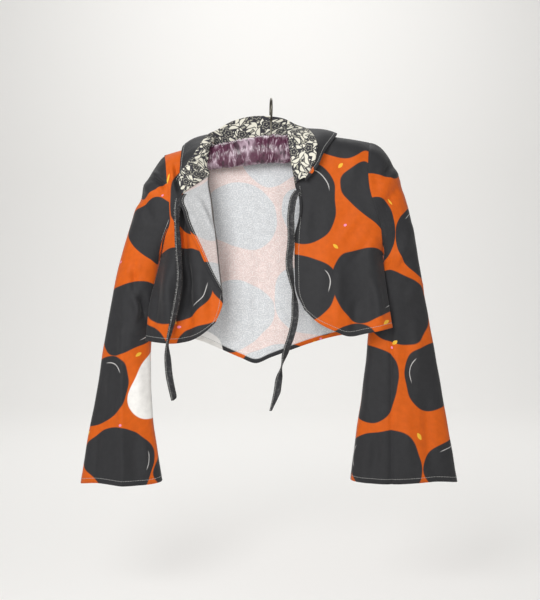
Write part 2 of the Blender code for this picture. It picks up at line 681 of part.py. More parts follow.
def build():
    """All pieces of the jacket and its hanger."""
    clear_scene()
    jacket = bpy.data.collections.new("cropped_jacket")
    bpy.context.scene.collection.children.link(jacket)
    printed = material("printed_cotton", PRINT_CLOTH)
    floral = material("floral_cotton", FLORAL_CLOTH)
    black = material("black_twill", TIE_CLOTH)
    satin = material("purple_satin", SATIN)
    steel = material("hook_steel", STEEL)
    sleeve_left = sleeve(SIDE_LEFT, UNDERARM_LEFT, SLEEVE_LEFT, HEAD_OUTER_LEFT, HEAD_INNER_LEFT)
    sleeve_right = sleeve(SIDE_RIGHT, UNDERARM_RIGHT, SLEEVE_RIGHT, HEAD_OUTER_RIGHT, HEAD_INNER_RIGHT)
    cloth("back", back_panel(), CLOTH_WALL, printed, jacket)
    cloth("front_left", left_front(), CLOTH_WALL, printed, jacket)
    cloth("front_right", right_front(), CLOTH_WALL, printed, jacket)
    cloth("sleeve_left", sleeve_left, CLOTH_WALL, printed, jacket, True)
    cloth("sleeve_right", sleeve_right, CLOTH_WALL, printed, jacket, True)
    cloth("collar_stand", collar_stand(), CLOTH_WALL, floral, jacket)
    cloth("collar_leaf", collar_leaf(), CLOTH_WALL, printed, jacket)
    cloth("tie_left", tie(TIE_LEFT), TIE_WALL, black, jacket)
    cloth("tie_right", tie(TIE_RIGHT), TIE_WALL, black, jacket)
    padded_hanger(satin, jacket)
    wire_hook(steel, jacket)


build()
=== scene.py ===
"""Looks of a cropped jacket with flared sleeves, hanging open on a padded hanger.

Metres in the part's own frame: +Z up, the front towards -Y, the wearer's left at +X.
Tables within mm() are written in millimetres.
"""
import math

import bpy
import numpy as np
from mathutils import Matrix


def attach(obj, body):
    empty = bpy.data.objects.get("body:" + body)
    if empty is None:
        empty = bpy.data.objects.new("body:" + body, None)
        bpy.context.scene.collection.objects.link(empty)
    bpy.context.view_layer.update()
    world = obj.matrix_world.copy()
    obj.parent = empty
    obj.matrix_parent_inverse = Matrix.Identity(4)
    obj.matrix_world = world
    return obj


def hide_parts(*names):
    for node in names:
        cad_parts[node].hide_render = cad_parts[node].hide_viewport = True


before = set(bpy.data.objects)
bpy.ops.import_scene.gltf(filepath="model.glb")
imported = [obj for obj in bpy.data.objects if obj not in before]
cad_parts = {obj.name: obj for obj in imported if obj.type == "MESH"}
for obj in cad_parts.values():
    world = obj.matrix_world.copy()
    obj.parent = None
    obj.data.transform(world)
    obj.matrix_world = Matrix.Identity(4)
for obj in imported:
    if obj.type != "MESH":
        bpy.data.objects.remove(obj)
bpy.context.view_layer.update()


def mm(rows, plain=()):
    """Rows of millimetres as an array in metres. The plain columns, of other units, are left as they are."""
    table = np.array(rows, float)
    units = np.full(table.shape[-1], 1000.0)
    units[list(plain)] = 1
    return table / units


# Photograph: picture size, real size of one of its pixels at the hanger, and the camera's place
PICTURE_HEIGHT = 600
PIXEL_SIZE = 0.00185
CAMERA_DISTANCE = 1.6
CAMERA_X = -0.00185
CAMERA_HEIGHT = -0.3996
SENSOR = 36.0

# Steps of the shown cloth between two steps of its solid
FINE = 6

# Cloth, its seams, and its turned-up hem, which puckers at the stitches
CLOTH_WALL = 0.0014
SEAM_GAP = 0.0001
SLEEVE_GAP = 0.0003
HEM_DEPTH = 0.0080
HEM_STEP = 0.0003
HEM_STEP_WIDTH = 0.002
NO_HEM = 1.0
PUCKER_PITCH = 0.0110
PUCKER_RISE = 0.00035
PUCKER_REACH = 0.006
PUCKER_WANDER = 1.7
PUCKER_WANDER_RATE = 61

# Slow waves of hung cloth, 46 to 82 mm long. Columns: radians a metre across and up, start, share
DRIFT_WAVES = ((70, 31, 0, 1), (43, -88, 1.3, 1), (124, 57, 2.1, 0.7))
DRIFT_RISE = 0.0006

# How far from a seam the creases and the drift are held down
SIDE_HELD = 0.014
SHOULDER_HELD = 0.02
ARMHOLE_HELD = 0.012

# Padded hanger: an arched sausage that tilts with the jacket's weight
HANGER_HALF_LENGTH = 0.186
HANGER_TOP = -0.0925
HANGER_ARCH = 0.3176
HANGER_ARCH_POWER = 1.4
HANGER_TILT = 0.0535
HANGER_HEIGHT = 0.0555
HANGER_HEIGHT_POWER = 1.5
HANGER_END_HEIGHT = 0.0355
HANGER_HALF_DEPTH = 0.0205
HANGER_END_HALF_DEPTH = 0.0160
HANGER_END_ROUND = 0.022

# Least share of its size that a rounded end shrinks to, before the square root
END_LEAST = 0.02

# Hook wire, bent across the hanger and turned a little about its shank.
# The heights in this file are measured from a level that lies HOOK_DROP above the origin,
# and each mesh, light and camera is raised by that
HOOK_DROP = 0.0296
HOOK_TURN = 4.0
HOOK_WIRE_RADIUS = 0.0018
HOOK_BEND_RADIUS = 0.0190
HOOK_FOOT_DEPTH = 0.004
HOOK_SHANK_DROP = 0.008
HOOK_START_ANGLE = -115
HOOK_TIP_ANGLE = -35.0
HOOK_ANGLE_STEP = 15.0
HOOK_STEPS = 12
HOOK_AROUND = 16
HOOK_END_STEPS = 4
# Bend from the shank into the hook. Columns: forward, up from the hook's lowest level
HOOK_KNEE = mm(((-1.2, -6), (-4, -0.5)))
RAISED = np.array((0, 0, HOOK_DROP))

# How the cloth rolls over the hanger and hangs below it
SHOULDER_RISE = 0.0030
ROLL_DROP = 0.032
FRONT_DEPTH = 0.0285
FRONT_SWING = 0.011
BACK_DEPTH = 0.0265
BACK_SWING = 0.006
BODY_DROP = 0.36

# Neck points on the shoulder line, and the dip of the back neck between them
NECK_RIGHT_X = -0.109
NECK_LEFT_X = 0.030
BACK_NECK_DIP = 0.020
NECK_MARGIN = 0.001

# Rows of the panels, as shares from the shoulder to the underarm and on to the hem
ARMHOLE_ROWS = (0, 0.014, 0.042, 0.085, 0.14, 0.20, 0.26, 0.30, 0.345, 0.40, 0.47, 0.56, 0.65, 0.74, 0.83,
                0.92, 1)
SIDE_ROWS = (0.2, 0.4, 0.6, 0.8, 1)
ARMHOLE_SHARE = 0.64

# Columns of the panels, as shares of their width. The right front's run to its roll line, then over the lapel
FRONT_COLUMNS = (0, 0.025, 0.065, 0.12, 0.19, 0.27, 0.35, 0.43, 0.51, 0.59, 0.67, 0.75, 0.83, 0.92, 0.97, 1)
BODY_COLUMNS = (0, 0.03, 0.08, 0.16, 0.27, 0.38, 0.49, 0.60, 0.71, 0.82, 0.92, 1)
LAPEL_COLUMNS = (0, 0.07, 0.14, 0.21, 0.28, 0.36, 0.5, 0.66, 0.83, 1)
BACK_COLUMNS = (0, 0.015, 0.04, 0.085, 0.14, 0.19, 0.2328, 0.28, 0.33, 0.385, 0.44, 0.495, 0.556, 0.6005,
                0.66, 0.72, 0.775, 0.835, 0.895, 0.95, 0.982, 1)

# Steps along the lines that the panels are drawn between
FRONT_TOP_STEPS = 25
FRONT_HEM_STEPS = 60
BACK_STEPS = 90

# How far in from a side line a panel is drawn to it, and how steeply. The back's is wider below the armhole
SIDE_REACH = 0.034
SIDE_POWER = 2.2
BACK_EASE_START = 0.8
BACK_EASE_RUN = 0.2
BACK_REACH_GAIN = 0.046
BACK_POWER_LOSS = 1.1

# Side lines, from the shoulder point by the armhole and the underarm to the hem.
# Columns: height, x, depth of the front edge, depth of the back edge
SIDE_LEFT = mm((
    (-109, 181, 0, 0),
    (-122, 178.5, -18, 17),
    (-145, 176.5, -28, 26),
    (-170, 176.2, -31, 29),
    (-198, 179, -33, 30),
    (-227, 187, -33, 30),
    (-254, 196.5, -29, 27),
    (-290, 203, -18, 19),
    (-318, 206, 0, 2),
    (-363, 209.5, -13, -13),
    (-400, 214, -18, -18),
    (-450, 221.5, -21, -21),
))
SIDE_RIGHT = mm((
    (-134, -197, 0, 0),
    (-146, -193, -18, 17),
    (-166, -190.5, -28, 26),
    (-191, -188.5, -32, 29),
    (-227, -184.5, -33, 30),
    (-258, -185, -31, 28),
    (-285, -192.5, -23, 21),
    (-322, -203, 0, 2),
    (-360, -211.5, -10, -10),
    (-400, -221, -14, -14),
    (-474, -229, -17, -17),
))
UNDERARM_LEFT = 8
UNDERARM_RIGHT = 7

# Neckline and front edge of each front, laid flat. Columns: height, x
EDGE_LEFT = mm((
    (-92, 30),
    (-125, 33),
    (-155, 37.5),
    (-190, 43.5),
    (-225, 46.5),
    (-289, 43),
    (-350, 43),
    (-384, 45.5),
    (-417, 60),
))
EDGE_RIGHT = mm((
    (-110, -109),
    (-140, -114),
    (-165, -113),
    (-178, -96),
    (-195, -57),
    (-229, -49),
    (-260, -51),
    (-292, -57.8),
    (-345, -69),
    (-389, -82.6),
    (-414, -89.3),
    (-440, -100),
))

# Hems from the side to the rounded front corner, or across the pointed back. Columns: x, height
HEM_LEFT = mm((
    (221.5, -450),
    (175, -460),
    (137, -465),
    (115, -456),
    (79, -436),
    (60, -417),
))
HEM_RIGHT = mm((
    (-229, -474),
    (-198, -477),
    (-169, -478),
    (-136, -469),
    (-118, -457),
    (-100, -440),
))
HEM_BACK = mm((
    (-229, -474),
    (-141, -474),
    (-87, -496),
    (-56, -509),
    (-29, -519),
    (-1, -508),
    (39, -493),
    (94, -475),
    (168, -459),
    (221.5, -450),
))

# Right front turned out along its roll line. Columns: height, x
LAPEL_ROLL = mm((
    (-480, -83),
    (-392, -91.5),
    (-320, -99.5),
    (-272, -105),
    (-219, -112),
    (-172, -116.5),
    (-150, -108),
    (-110, -85),
))
LAPEL_ROLL_RADIUS = 0.0045
LAPEL_ROLL_INSET = 0.001
LAPEL_TURN = 160.0
LAPEL_SLANT = 0.27
LAPEL_LEAST_WIDTH = 0.012

# Painted shade over the lapel's wrong side, and a painted shadow along its roll, between two degrees of turn
PAINTED_SHADE_START = 50.0
PAINTED_SHADOW_END = 158.0
PAINTED_SHADOW_FADE = 25.0
LAPEL_PAINTED_SHADE = 0.31

# Largest folds of the fronts and back, as soft ridges and troughs that grow down from a height.
# Columns: x at the start, x at the hem, height of the start, half width, rise out of the panel
FOLD_GROWTH = 0.16
FOLDS_LEFT = mm((
    (105, 98, -200, 22, 6),
    (150, 160, -230, 24, -6),
))
FOLDS_RIGHT = mm((
    (-150, -158, -230, 13, -12),
    (-176, -188, -220, 16, 8),
))
FOLDS_BACK = mm((
    (-80, -100, -180, 30, 8),
    (10, 20, -200, 34, -7),
    (90, 110, -180, 30, 8),
))

# Sleeve sections below the underarm.
# Columns: height, outer x, inner x, middle depth, half depth, x of the front ridge, rise of the ridge
SLEEVE_LEFT = mm((
    (-364, 281, 202, 16, 26, 235, 0),
    (-400, 288, 193, 21, 26, 228, 2),
    (-444, 297, 185, 25, 26, 225, 5),
    (-501, 307, 180, 26, 27, 224, 7),
    (-556, 317.5, 175.5, 26, 28, 224, 7),
    (-614, 327.5, 166, 25, 28, 223, 7),
    (-675, 338, 157.5, 24, 29, 222, 6),
    (-737, 348, 150, 22, 30, 222, 6),
))
SLEEVE_RIGHT = mm((
    (-350, -287, -209, 14, 26, -255, 0),
    (-395, -296, -216.5, 19, 26, -258, 4),
    (-441, -305, -223, 22, 26, -262, 7),
    (-501, -315, -227, 23, 27, -266, 9),
    (-560, -325.5, -226.5, 23, 28, -270, 10),
    (-619, -335, -223, 22, 28, -272, 10),
    (-683, -346, -213, 21, 29, -272, 9),
    (-739, -355, -205, 20, 30, -272, 8),
))
SLEEVE_OVAL_POWER = 0.8
SLEEVE_RIDGE_WIDTH = 0.022
SLEEVE_RELAX = 24
SLEEVE_CAP_RINGS = (0, 0.07, 0.18, 0.32, 0.48, 0.66, 0.83)

# Points that the sleeve head is drawn towards. Columns: x, depth, height
HEAD_OUTER_LEFT = mm((244, 0, -110))
HEAD_OUTER_RIGHT = mm((-239, 0, -170))
HEAD_INNER_LEFT = mm((213, 14, -331))
HEAD_INNER_RIGHT = mm((-211, 14, -335))
HEAD_OUTER_POWER = 1.6
HEAD_INNER_POWER = 2.2
HEAD_PUFF = 0.006
UNDERARM_CLEAR = 0.0016

# Collar from the right front corner round the back neck to the left front corner.
# Columns: place on the neckline (0 right corner, 1 right neck point, 2 left neck point, 3 left corner),
# forward and upward step of the seam from the neckline; x, depth, height of the fold; of the leaf's free edge
COLLAR = mm((
    (0, 1.8, 0, -166, -60, -184, -172, -55, -189),
    (0.33, 1.8, 0, -152, -60, -164, -164, -50, -178),
    (0.62, 2, 0.4, -140, -53, -148, -164, -46, -165),
    (0.82, 2.2, 1.2, -129, -38, -123, -163, -40, -145),
    (1, 1, 2.4, -116, -4, -97, -160, -8, -115),
    (1.14, 0, 2, -100, 19, -83, -142, 42, -126),
    (1.28, 0, 1.6, -72, 31, -64, -100, 55, -124),
    (1.5, 0, 1.4, -32, 34, -54, -32, 60, -122),
    (1.72, 0, 1.6, 16, 30, -57.5, 38, 56, -117),
    (1.86, 0, 2, 45, 19, -72, 86, 44, -110),
    (2, 1.2, 2.9, 69, -6, -86.5, 121.5, -6, -93),
    (2.38, 3, 1.6, 80, -43, -115, 96, -41, -133),
    (2.68, 2, 0.4, 76, -50, -149, 84, -45, -159),
    (3, 1.8, 0, 58, -48, -180, 62, -44, -186),
), plain=(0,))
CORNER_ROW_RIGHT = 9
CORNER_ROW_LEFT = 10
COLLAR_ALONG = 44
STAND_ACROSS = 4
STAND_BULGE = 0.002
STAND_ROLL_RADIUS = 0.0019
# Roll of the stand over the fold: first and last turn in degrees, and steps
STAND_ROLL = (12, 120, 10)
LEAF_ACROSS = 5
LEAF_START = 0.0019
LEAF_BULGE = 0.006
LEAF_BULGE_SHARE = 0.16
LEAF_LEAN = 0.5

# Ties sewn to the front corners. Columns: x, depth, height, turn of the flat side in degrees
TIE_WIDTH = 0.013
TIE_WALL = 0.0016
TIE_POINT_LEFT = 0.034
TIE_POINT_RIGHT = 0.005
TIE_END_SHARE = 0.33
TIE_STEPS = 10
TIE_ACROSS = 5
TIE_LEFT = mm((
    (49, -34.5, -201, 0),
    (40, -40, -218, -12),
    (35.5, -47, -250, 0),
    (36, -48.5, -292, 15),
    (32.5, -48, -331, -5),
    (36, -47.5, -360, 40),
    (40.5, -47, -385, 68),
    (43, -47, -410, 20),
    (42.5, -46.5, -435, 0),
    (36, -45.5, -464, 12),
    (26.5, -45, -492, 30),
    (19, -44.5, -519, 82),
    (14, -44, -543, 22),
    (10.5, -44, -568, 8),
    (3.5, -44, -599, 10),
), plain=(3,))
TIE_RIGHT = mm((
    (-165, -52.4, -218, 4),
    (-167.8, -58.2, -242, 38),
    (-167.5, -59.2, -267, 56),
    (-166, -59.4, -294, 44),
    (-164.5, -59, -322, 46),
    (-162.8, -58.5, -350, 54),
    (-164.5, -58, -379, 46),
    (-169.5, -57.5, -409, 40),
    (-175, -57, -435, 50),
    (-181, -59, -460, 65),
    (-185, -59, -480, 78),
    (-184.5, -54, -508, 35),
    (-182, -48, -540, 25),
    (-173.5, -47, -580, 40),
), plain=(3,))

# Creases that the hung cloth shows, as ridges (or troughs, where the rise is negative) along bowed lines.
# Each has a shallow trough of the other sign beside it, placed and sized in half widths
CREASE_SCALE = 1.9
CREASE_FADE = 0.8
TROUGH_SHARE = 0.45
TROUGH_PLACE = 1.9
TROUGH_WIDTH = 1.3
# Columns: x and height of one end, x and height of the other, bow, half width, rise
CREASES_LEFT = mm((
    (170, -235, 120, -300, 4, 9, 1.8),
    (186, -275, 140, -335, -3, 8, -1.6),
    (75, -205, 62, -330, 5, 12, 1.4),
    (128, -330, 120, -462, 3, 10, 2.2),
    (186, -360, 196, -452, -3, 9, 2.4),
    (155, -395, 150, -462, 2, 8, -1.8),
    (110, -112, 100, -170, 4, 11, -1.2),
    (150, -125, 140, -200, -4, 12, 1.4),
))
CREASES_RIGHT = mm((
    (-176, -200, -142, -300, 5, 9, 2.4),
    (-166, -300, -146, -470, -4, 8, -3),
    (-188, -330, -180, -476, 3, 9, 2.6),
    (-206, -350, -214, -470, 2, 7, -2.2),
    (-128, -330, -122, -450, 4, 10, 2.2),
    (-108, -380, -104, -440, 2, 7, -1.4),
    (-180, -165, -150, -190, 2, 8, 1.4),
    (-156, -228, -152.5, -385, 2, 6.5, -6),
    (-150.5, -335, -174, -470, -2, 6.5, -5.4),
    (-78.6, -204.6, -90.8, -280, 2, 4.5, -1.6),
    (-183, -150, -173.5, -212, 1, 5.5, 2.4),
    (-174, -150, -166, -205, 1, 5, -2.8),
))
CREASES_BACK = mm((
    (-150, -180, -90, -260, 6, 12, 2),
    (150, -170, 85, -250, -6, 12, 2.2),
    (-60, -250, -75, -480, 6, 13, -2.2),
    (55, -260, 60, -470, -5, 12, 2.4),
    (-20, -300, -30, -500, 3, 10, 1.8),
    (130, -300, 150, -450, 4, 11, -2.4),
    (-150, -310, -170, -465, 4, 11, 2.4),
    (10, -150, 4, -230, 3, 14, -1.4),
))
CREASES_SLEEVE_LEFT = mm((
    (240, -160, 196, -200, 5, 8, 3),
    (246, -185, 205, -235, 4, 9, -2.8),
    (224, -146, 204, -188, 2, 5.5, -2.8),
    (262, -255, 222, -330, -6, 10, 2.4),
    (270, -310, 232, -352, 4, 8, -2.2),
    (285, -370, 246, -400, 3, 8, 2),
    (262, -420, 270, -560, -5, 12, 2.2),
    (288, -560, 300, -735, 4, 12, -2.6),
    (252, -590, 256, -737, 3, 10, 2),
    (190, -480, 180, -640, 4, 10, 2.4),
    (196, -640, 182, -738, -3, 9, -2),
))
CREASES_SLEEVE_RIGHT = mm((
    (-272, -365, -273, -738, 3, 7, 1.4),
    (-236, -175, -206, -215, 4, 8, 2.6),
    (-219, -166, -193, -186, -2, 5, 3),
    (-214, -176.4, -189, -200, -2, 4.2, -4),
    (-250, -205, -214, -262, -4, 9, -2.6),
    (-282, -352, -236, -338, 3, 6.5, 2.2),
    (-250, -326, -249, -392, 2, 6, -2.4),
    (-253, -442, -259, -388, 10, 5.5, 4),
    (-231, -446, -243, -388, 4, 6, -3.4),
    (-290, -436, -262, -440, 4, 7, -2.4),
    (-262, -456, -228, -446, 2, 6, 3),
    (-286, -500, -296, -620, 4, 11, 2.2),
    (-250, -490, -246, -620, -3, 10, 2),
    (-312, -600, -326, -738, 3, 11, -2.6),
    (-240, -640, -232, -738, -3, 10, 2.2),
))
CREASES_SLEEVE_LEFT_BEHIND = mm((
    (236, -170, 205, -230, 4, 10, 2.8),
    (270, -330, 220, -372, 4, 9, 3),
    (280, -370, 226, -402, -4, 9, -3),
    (236, -430, 226, -600, 5, 13, 2.6),
    (280, -520, 300, -735, -4, 13, 2.8),
    (200, -600, 188, -738, 3, 11, -2.4),
))
CREASES_SLEEVE_RIGHT_BEHIND = mm((
    (-236, -180, -208, -240, 4, 10, 2.8),
    (-276, -350, -230, -380, 4, 9, 3),
    (-284, -392, -236, -412, -4, 9, -3),
    (-262, -440, -254, -600, 5, 13, 2.6),
    (-296, -520, -314, -735, -4, 13, 2.8),
    (-240, -600, -230, -738, 3, 11, -2.4),
))
CREASES_STAND = mm((
    (-148, -140, -130, -188, 1, 4.2, 1.8),
    (76, -100, 60, -150, -2, 6, 1),
))

# Left front's edge, which curls out a little below the neck. Columns: height, width of the curl
CURL_LEFT = mm((
    (-192, 0),
    (-206, 6.5),
    (-232, 9),
    (-262, 6.5),
    (-290, 0),
))
CURL_RADIUS = 0.0028
CURL_TURN = 150.0

# Pressed crease of each sleeve, out on the right one and in on the left one.
# Columns: x, height of its start, rise, width
PRESS_LEFT = mm((221.5, -385, -8.5, 9.5))
PRESS_RIGHT = mm((-272.5, -420, 2.4, 6))
PRESS_FADE = 0.10

# Printed cotton: large dark plums on orange.
# Repeat of the print, softness of its edges, and the powers that square or point an outline
PRINT_REPEAT = 0.44
PRINT_SOFT = 0.03
PLUM_POWER = 2.5
YELLOW_LEAF_POWER = 1.5
PINK_BERRY_POWER = 2.0
# Columns: across, up, half width, half height, turn in degrees, taper, shade (0 dark, 1 white)
PLUMS = mm((
    (70, 70, 71, 60, 20, 0.18, 0),
    (216, 56, 60, 73, -14, -0.16, 0),
    (362, 82, 73, 58, 35, 0.2, 0),
    (142, 200, 64, 75, 62, 0.16, 0),
    (290, 206, 73, 60, -30, -0.18, 0),
    (424, 226, 56, 68, 10, 0.16, 1),
    (62, 322, 67, 62, -45, 0.14, 0),
    (204, 344, 71, 60, 15, -0.17, 0),
    (342, 350, 64, 71, 75, 0.18, 0),
), plain=(4, 5, 6))
# Small yellow leaves and pink berries. Columns: across, up, half width, half height, turn in degrees
YELLOW_LEAVES = mm((
    (142, 128, 6.8, 3.3, 35),
    (286, 128, 6.4, 3.1, -50),
    (4, 156, 7, 3.4, 70),
    (214, 268, 6.4, 3.1, 10),
    (368, 276, 6.8, 3.3, -35),
    (130, 396, 6.8, 3.3, -65),
    (276, 416, 6.4, 3.1, 40),
), plain=(4,))
PINK_BERRIES = mm((
    (152, 118, 2.5, 2.5, 0),
    (292, 12, 2.4, 2.4, 0),
    (356, 150, 2.5, 2.5, 0),
    (222, 276, 2.4, 2.4, 0),
    (20, 246, 2.5, 2.5, 0),
    (412, 400, 2.5, 2.5, 0),
), plain=(4,))
# Place of each cut piece on the printed cloth. Columns: across, up
CUT_BACK = mm((120, 300))
CUT_FRONT_LEFT = mm((150, 270))
CUT_FRONT_RIGHT = mm((310, 120))
CUT_SLEEVE_LEFT = mm((50, 160))
CUT_SLEEVE_RIGHT = mm((270, 330))
CUT_LEAF = mm((-30, 35))

# Colours
ORANGE = "#CB5908"
CHARCOAL = "#2C2C2E"
WHITE = "#EDEBE7"
YELLOW = "#E5B437"
PINK = "#E78CB0"
PALE_PINK = "#DAC6C1"
PALE_GREY = "#C3C6C9"
PALE_WHITE = "#FBFAF8"
CREAM = "#DDDACB"
SAGE = "#A3A193"
FLOWER_INK = "#36353A"
SATIN_PURPLE = "#52233C"
TIE_BLACK = "#2B2B2D"
RUBBED_GREY = "#6A6A6A"
FRAYED_GREY = "#8B8B89"
THREAD_GREY = "#A5A5A2"
WIRE = "#6A675E"
STUDIO_WHITE = "#F1F0EE"
SHINE_GREY = "#B9B7B5"
# Painted shade over the turned lapel, and painted shadow along its roll
PAINTED_SHADE_BROWN = "#5B5450"
SATIN_SHEEN = "#D9B6CF"
# Painted shade in the satin's gathers, and painted sheens and light patches over it
SATIN_PAINTED_SHADE = "#2C1120"
SATIN_PAINTED_SHEEN = "#CFB8C6"

# Line of light inside a plum, as shares of its outline's power sum. It keeps to one side, and clear of a hem
SHINE_PLACE = 0.62
SHINE_OUTER = 0.026
SHINE_INNER = 0.014
SHINE_LEAN = 0.6
SHINE_START = 0.90
SHINE_FULL = 0.96
SHINE_CLEAR = 0.026
SHINE_FADE = 0.006

# The print wavers, because the cloth is pulled. Waves in a metre (67 mm each), and the largest shift
PRINT_BENDS = 15.0
PRINT_SHIFT = 0.016

# Half width of the soft line where the wrong side meets its turned-up hem
HEM_SOFT = 0.0004

# Threads are drawn at 1.6 mm, coarser than the real 0.3 mm, which no picture of this size shows.
# At a scale of 1 the wave texture turns by WAVE_RATE radians a metre
WEAVE_PERIOD = 0.0016
WEAVE_DEPTH = 0.0002
WAVE_RATE = 20

# Uneven colour and surface, as the number in a metre: speckles of the wrong side (2.3 mm), worn blotches
# (11 mm), ripples of the cloth (26 mm), flecks of a tie's frayed edge (2.4 mm), rubbed patches of a tie
# (6 mm), painted sheens and painted shade of the satin (7 mm) and its broad painted light patches (29 mm)
SPECKLES = 430.0
BLOTCHES = 90.0
RIPPLES = 38.0
RIPPLE_DEPTH = 0.005
FLECKS = 420.0
FRAY_START = 0.28
RUBS = 170.0
SHEENS = 150.0
SHEEN_STRETCH = 0.28
SHEEN_DEPTH = 0.0016
SATIN_PATCHES = 34.0

# Leaves of the flower pattern, one a cell, each layer over the last.
# Columns: cell, half length, half width, curve, shift of the layer, colour
FLORAL_LEAVES = (
    (0.0090, 0.0066, 0.0020, 30.0, 0.000, SAGE),
    (0.0130, 0.0082, 0.0029, -34.0, 0.031, CREAM),
    (0.0160, 0.0096, 0.0034, 40.0, 0.057, CREAM),
)
# Upward part of a layer's shift, softness of the pattern's edges, size of a leaf's dark outline and of its
# fill, and petals of a flower
FLORAL_SHIFT_UP = 0.7
FLORAL_SOFT = 0.06
FLORAL_OUTLINE = 1.45
FLORAL_FILL = 0.95
PETALS = 5.0
# Flowers over the leaves: cell, reach, depth of the petals, share of the cells that have one
FLORAL_FLOWERS = (0.0260, 0.0088, 0.0016, 0.82)
# Rings of a flower as shares of its edge. Columns: inner, outer, colour
FLORAL_BANDS = (
    (-1.0, 1.05, FLOWER_INK),
    (0.60, 0.72, SAGE),
    (-1.0, 0.14, SAGE),
)

# Sewing: threads drawn a little thick, and the tucked-in edge of a sleeve
STITCH_INSET = 0.0090
SECOND_STITCH_INSET = 0.0055
LEAF_STITCH_INSET = 0.0060
STITCH_PITCH = 0.0032
STITCH_LENGTH = 0.0024
THREAD_RADIUS = 0.00042
THREAD_FLATNESS = 0.7
# Columns: share of a stitch's length, lift in thread radii
STITCH_SHAPE = ((0.0, -0.6), (0.25, 0.35), (0.75, 0.35), (1.0, -0.6))
# Sides of a thread, and the two faces that close its first end, as the numbers of their corners
THREAD_SIDES = 6
THREAD_END = np.array(((0, 1, 2, 3), (0, 3, 4, 5)))
TIE_STITCH_PLACE = 0.16
SEAM_SINK = 0.0006
SEAM_SINK_REACH = 0.003
TUCK_REACH = 0.0040
TUCK_DEPTH = 0.0018

# Waves of a cuff, three round it
CUFF_WAVE = 0.0020
CUFF_WAVES = 3
CUFF_WAVE_START = 0.8
CUFF_WAVE_REACH = 0.10

# Gathers of the satin. A wave is given as turns round the hanger, radians a metre along it, and start
SATIN_ALONG = 620
SATIN_AROUND = 96
GATHER_PITCH = 0.0110
GATHER_DEPTH = 0.0017
GATHER_BENDS = ((0.0042, (0, 61, 0.4)), (0.0026, (2, 55, 0)), (0.0014, (5, -130, 0)))
PUFF_POWER = 0.55
PUFF_CHANGE = 0.34
PUFF_WAVE = (3, 190, 1.0)
CRUMPLE_DEPTH = 0.0007
CRUMPLE_SHARE = 0.41
CRUMPLE_WAVE = (7, 260, 0)
CRUMPLE_BEND = 2.2
CRUMPLE_BEND_WAVE = (4, 90, 0)
SATIN_SEAM_X = -0.0040
SATIN_SEAM_WIDTH = 0.0022
SATIN_SEAM_DEPTH = 0.0016

# Sweep of studio paper, far enough behind for a camera that goes round the jacket
FLOOR_HEIGHT = -1.0
SWEEP_HALF_WIDTH = 6.0
SWEEP_NEAR = -4.5
SWEEP_FAR = 3.0
SWEEP_RADIUS = 1.5
SWEEP_HEIGHT = 4.5
SWEEP_STEPS = 25
SWEEP_ACROSS = 5

# Lights. Columns: name, place, aim, size, power
LIGHTS = (
    ("key", (-0.46, -1.20, 0.12), (0.0, 0.0, -0.38), 0.6, 11.8),
    ("fill", (0.1, -2.7, -0.2), (0.0, 0.0, -0.40), 1.6, 19.0),
    ("backdrop", (0.0, 1.6, 2.6), (0.0, 3.9, -1.5), 2.5, 88.0),
)
WORLD_STRENGTH = 0.40


def finer(values):
    """The values with FINE even steps from each to the next."""
    values = np.asarray(values, float)
    at = np.linspace(0, len(values) - 1, FINE * (len(values) - 1) + 1)
    return np.interp(at, np.arange(len(values)), values)


UPPER_ROWS = finer(ARMHOLE_ROWS)
LOWER_ROWS = finer((0, *SIDE_ROWS))[1:]
ROW_SHARES = np.concatenate([UPPER_ROWS * ARMHOLE_SHARE, ARMHOLE_SHARE + (1 - ARMHOLE_SHARE) * LOWER_ROWS])


def smooth(at, knots, values):
    """Values at the given places on the smooth curve through the knots.

    The curve is a cubic between each two knots, with the mean slope of its neighbours at each.
    """
    knots = np.asarray(knots, float)
    values = np.asarray(values, float)
    if knots[0] > knots[-1]:
        knots = knots[::-1]
        values = values[::-1]
    slopes = np.gradient(values, knots, axis=0)
    at = np.clip(np.asarray(at, float), knots[0], knots[-1])
    low = np.clip(np.searchsorted(knots, at) - 1, 0, len(knots) - 2)
    step = knots[low + 1] - knots[low]
    t = (at - knots[low]) / step
    if values.ndim > 1:
        t = t[..., None]
        step = step[..., None]
    start = (1 + 2 * t) * (1 - t) ** 2 * values[low] + t * (1 - t) ** 2 * step * slopes[low]
    end = t ** 2 * (3 - 2 * t) * values[low + 1] + t ** 2 * (t - 1) * step * slopes[low + 1]
    return start + end


def spread(table, count):
    """The given count of rows, at even steps along the smooth curve through a table's rows."""
    return smooth(np.linspace(0, len(table) - 1, count), np.arange(len(table)), table)


def unit(vectors):
    """Vectors made one long."""
    return vectors / np.linalg.norm(vectors, axis=-1, keepdims=True)


def run_of(points):
    """Distance of each point from the first of its line, where the lines run along the first axis."""
    steps = np.linalg.norm(np.diff(points, axis=0, prepend=points[:1]), axis=-1)
    return np.cumsum(steps, axis=0)


def resampled(line, shares):
    """Points at the given shares of a line's own length."""
    run = run_of(line)
    return np.stack([np.interp(shares, run / run[-1], part) for part in line.T], axis=-1)


def hanger_top(x):
    """Height of the hanger's upper line: a tilted arch that falls with a power of the way from its middle."""
    return HANGER_TOP - HANGER_ARCH * np.abs(x) ** HANGER_ARCH_POWER + HANGER_TILT * x


def shoulder_line(x):
    """Height of the cloth where it lies on the hanger."""
    return hanger_top(x) + SHOULDER_RISE


def rolled(x, z, depth, swing):
    """Distance of a panel from the middle plane: a quarter round over the hanger, then a straight slope."""
    drop = np.maximum(shoulder_line(x) - z, 0)
    share = np.minimum(drop / ROLL_DROP, 1)
    return depth * np.sqrt(1 - (1 - share) ** 2) + swing * drop / BODY_DROP


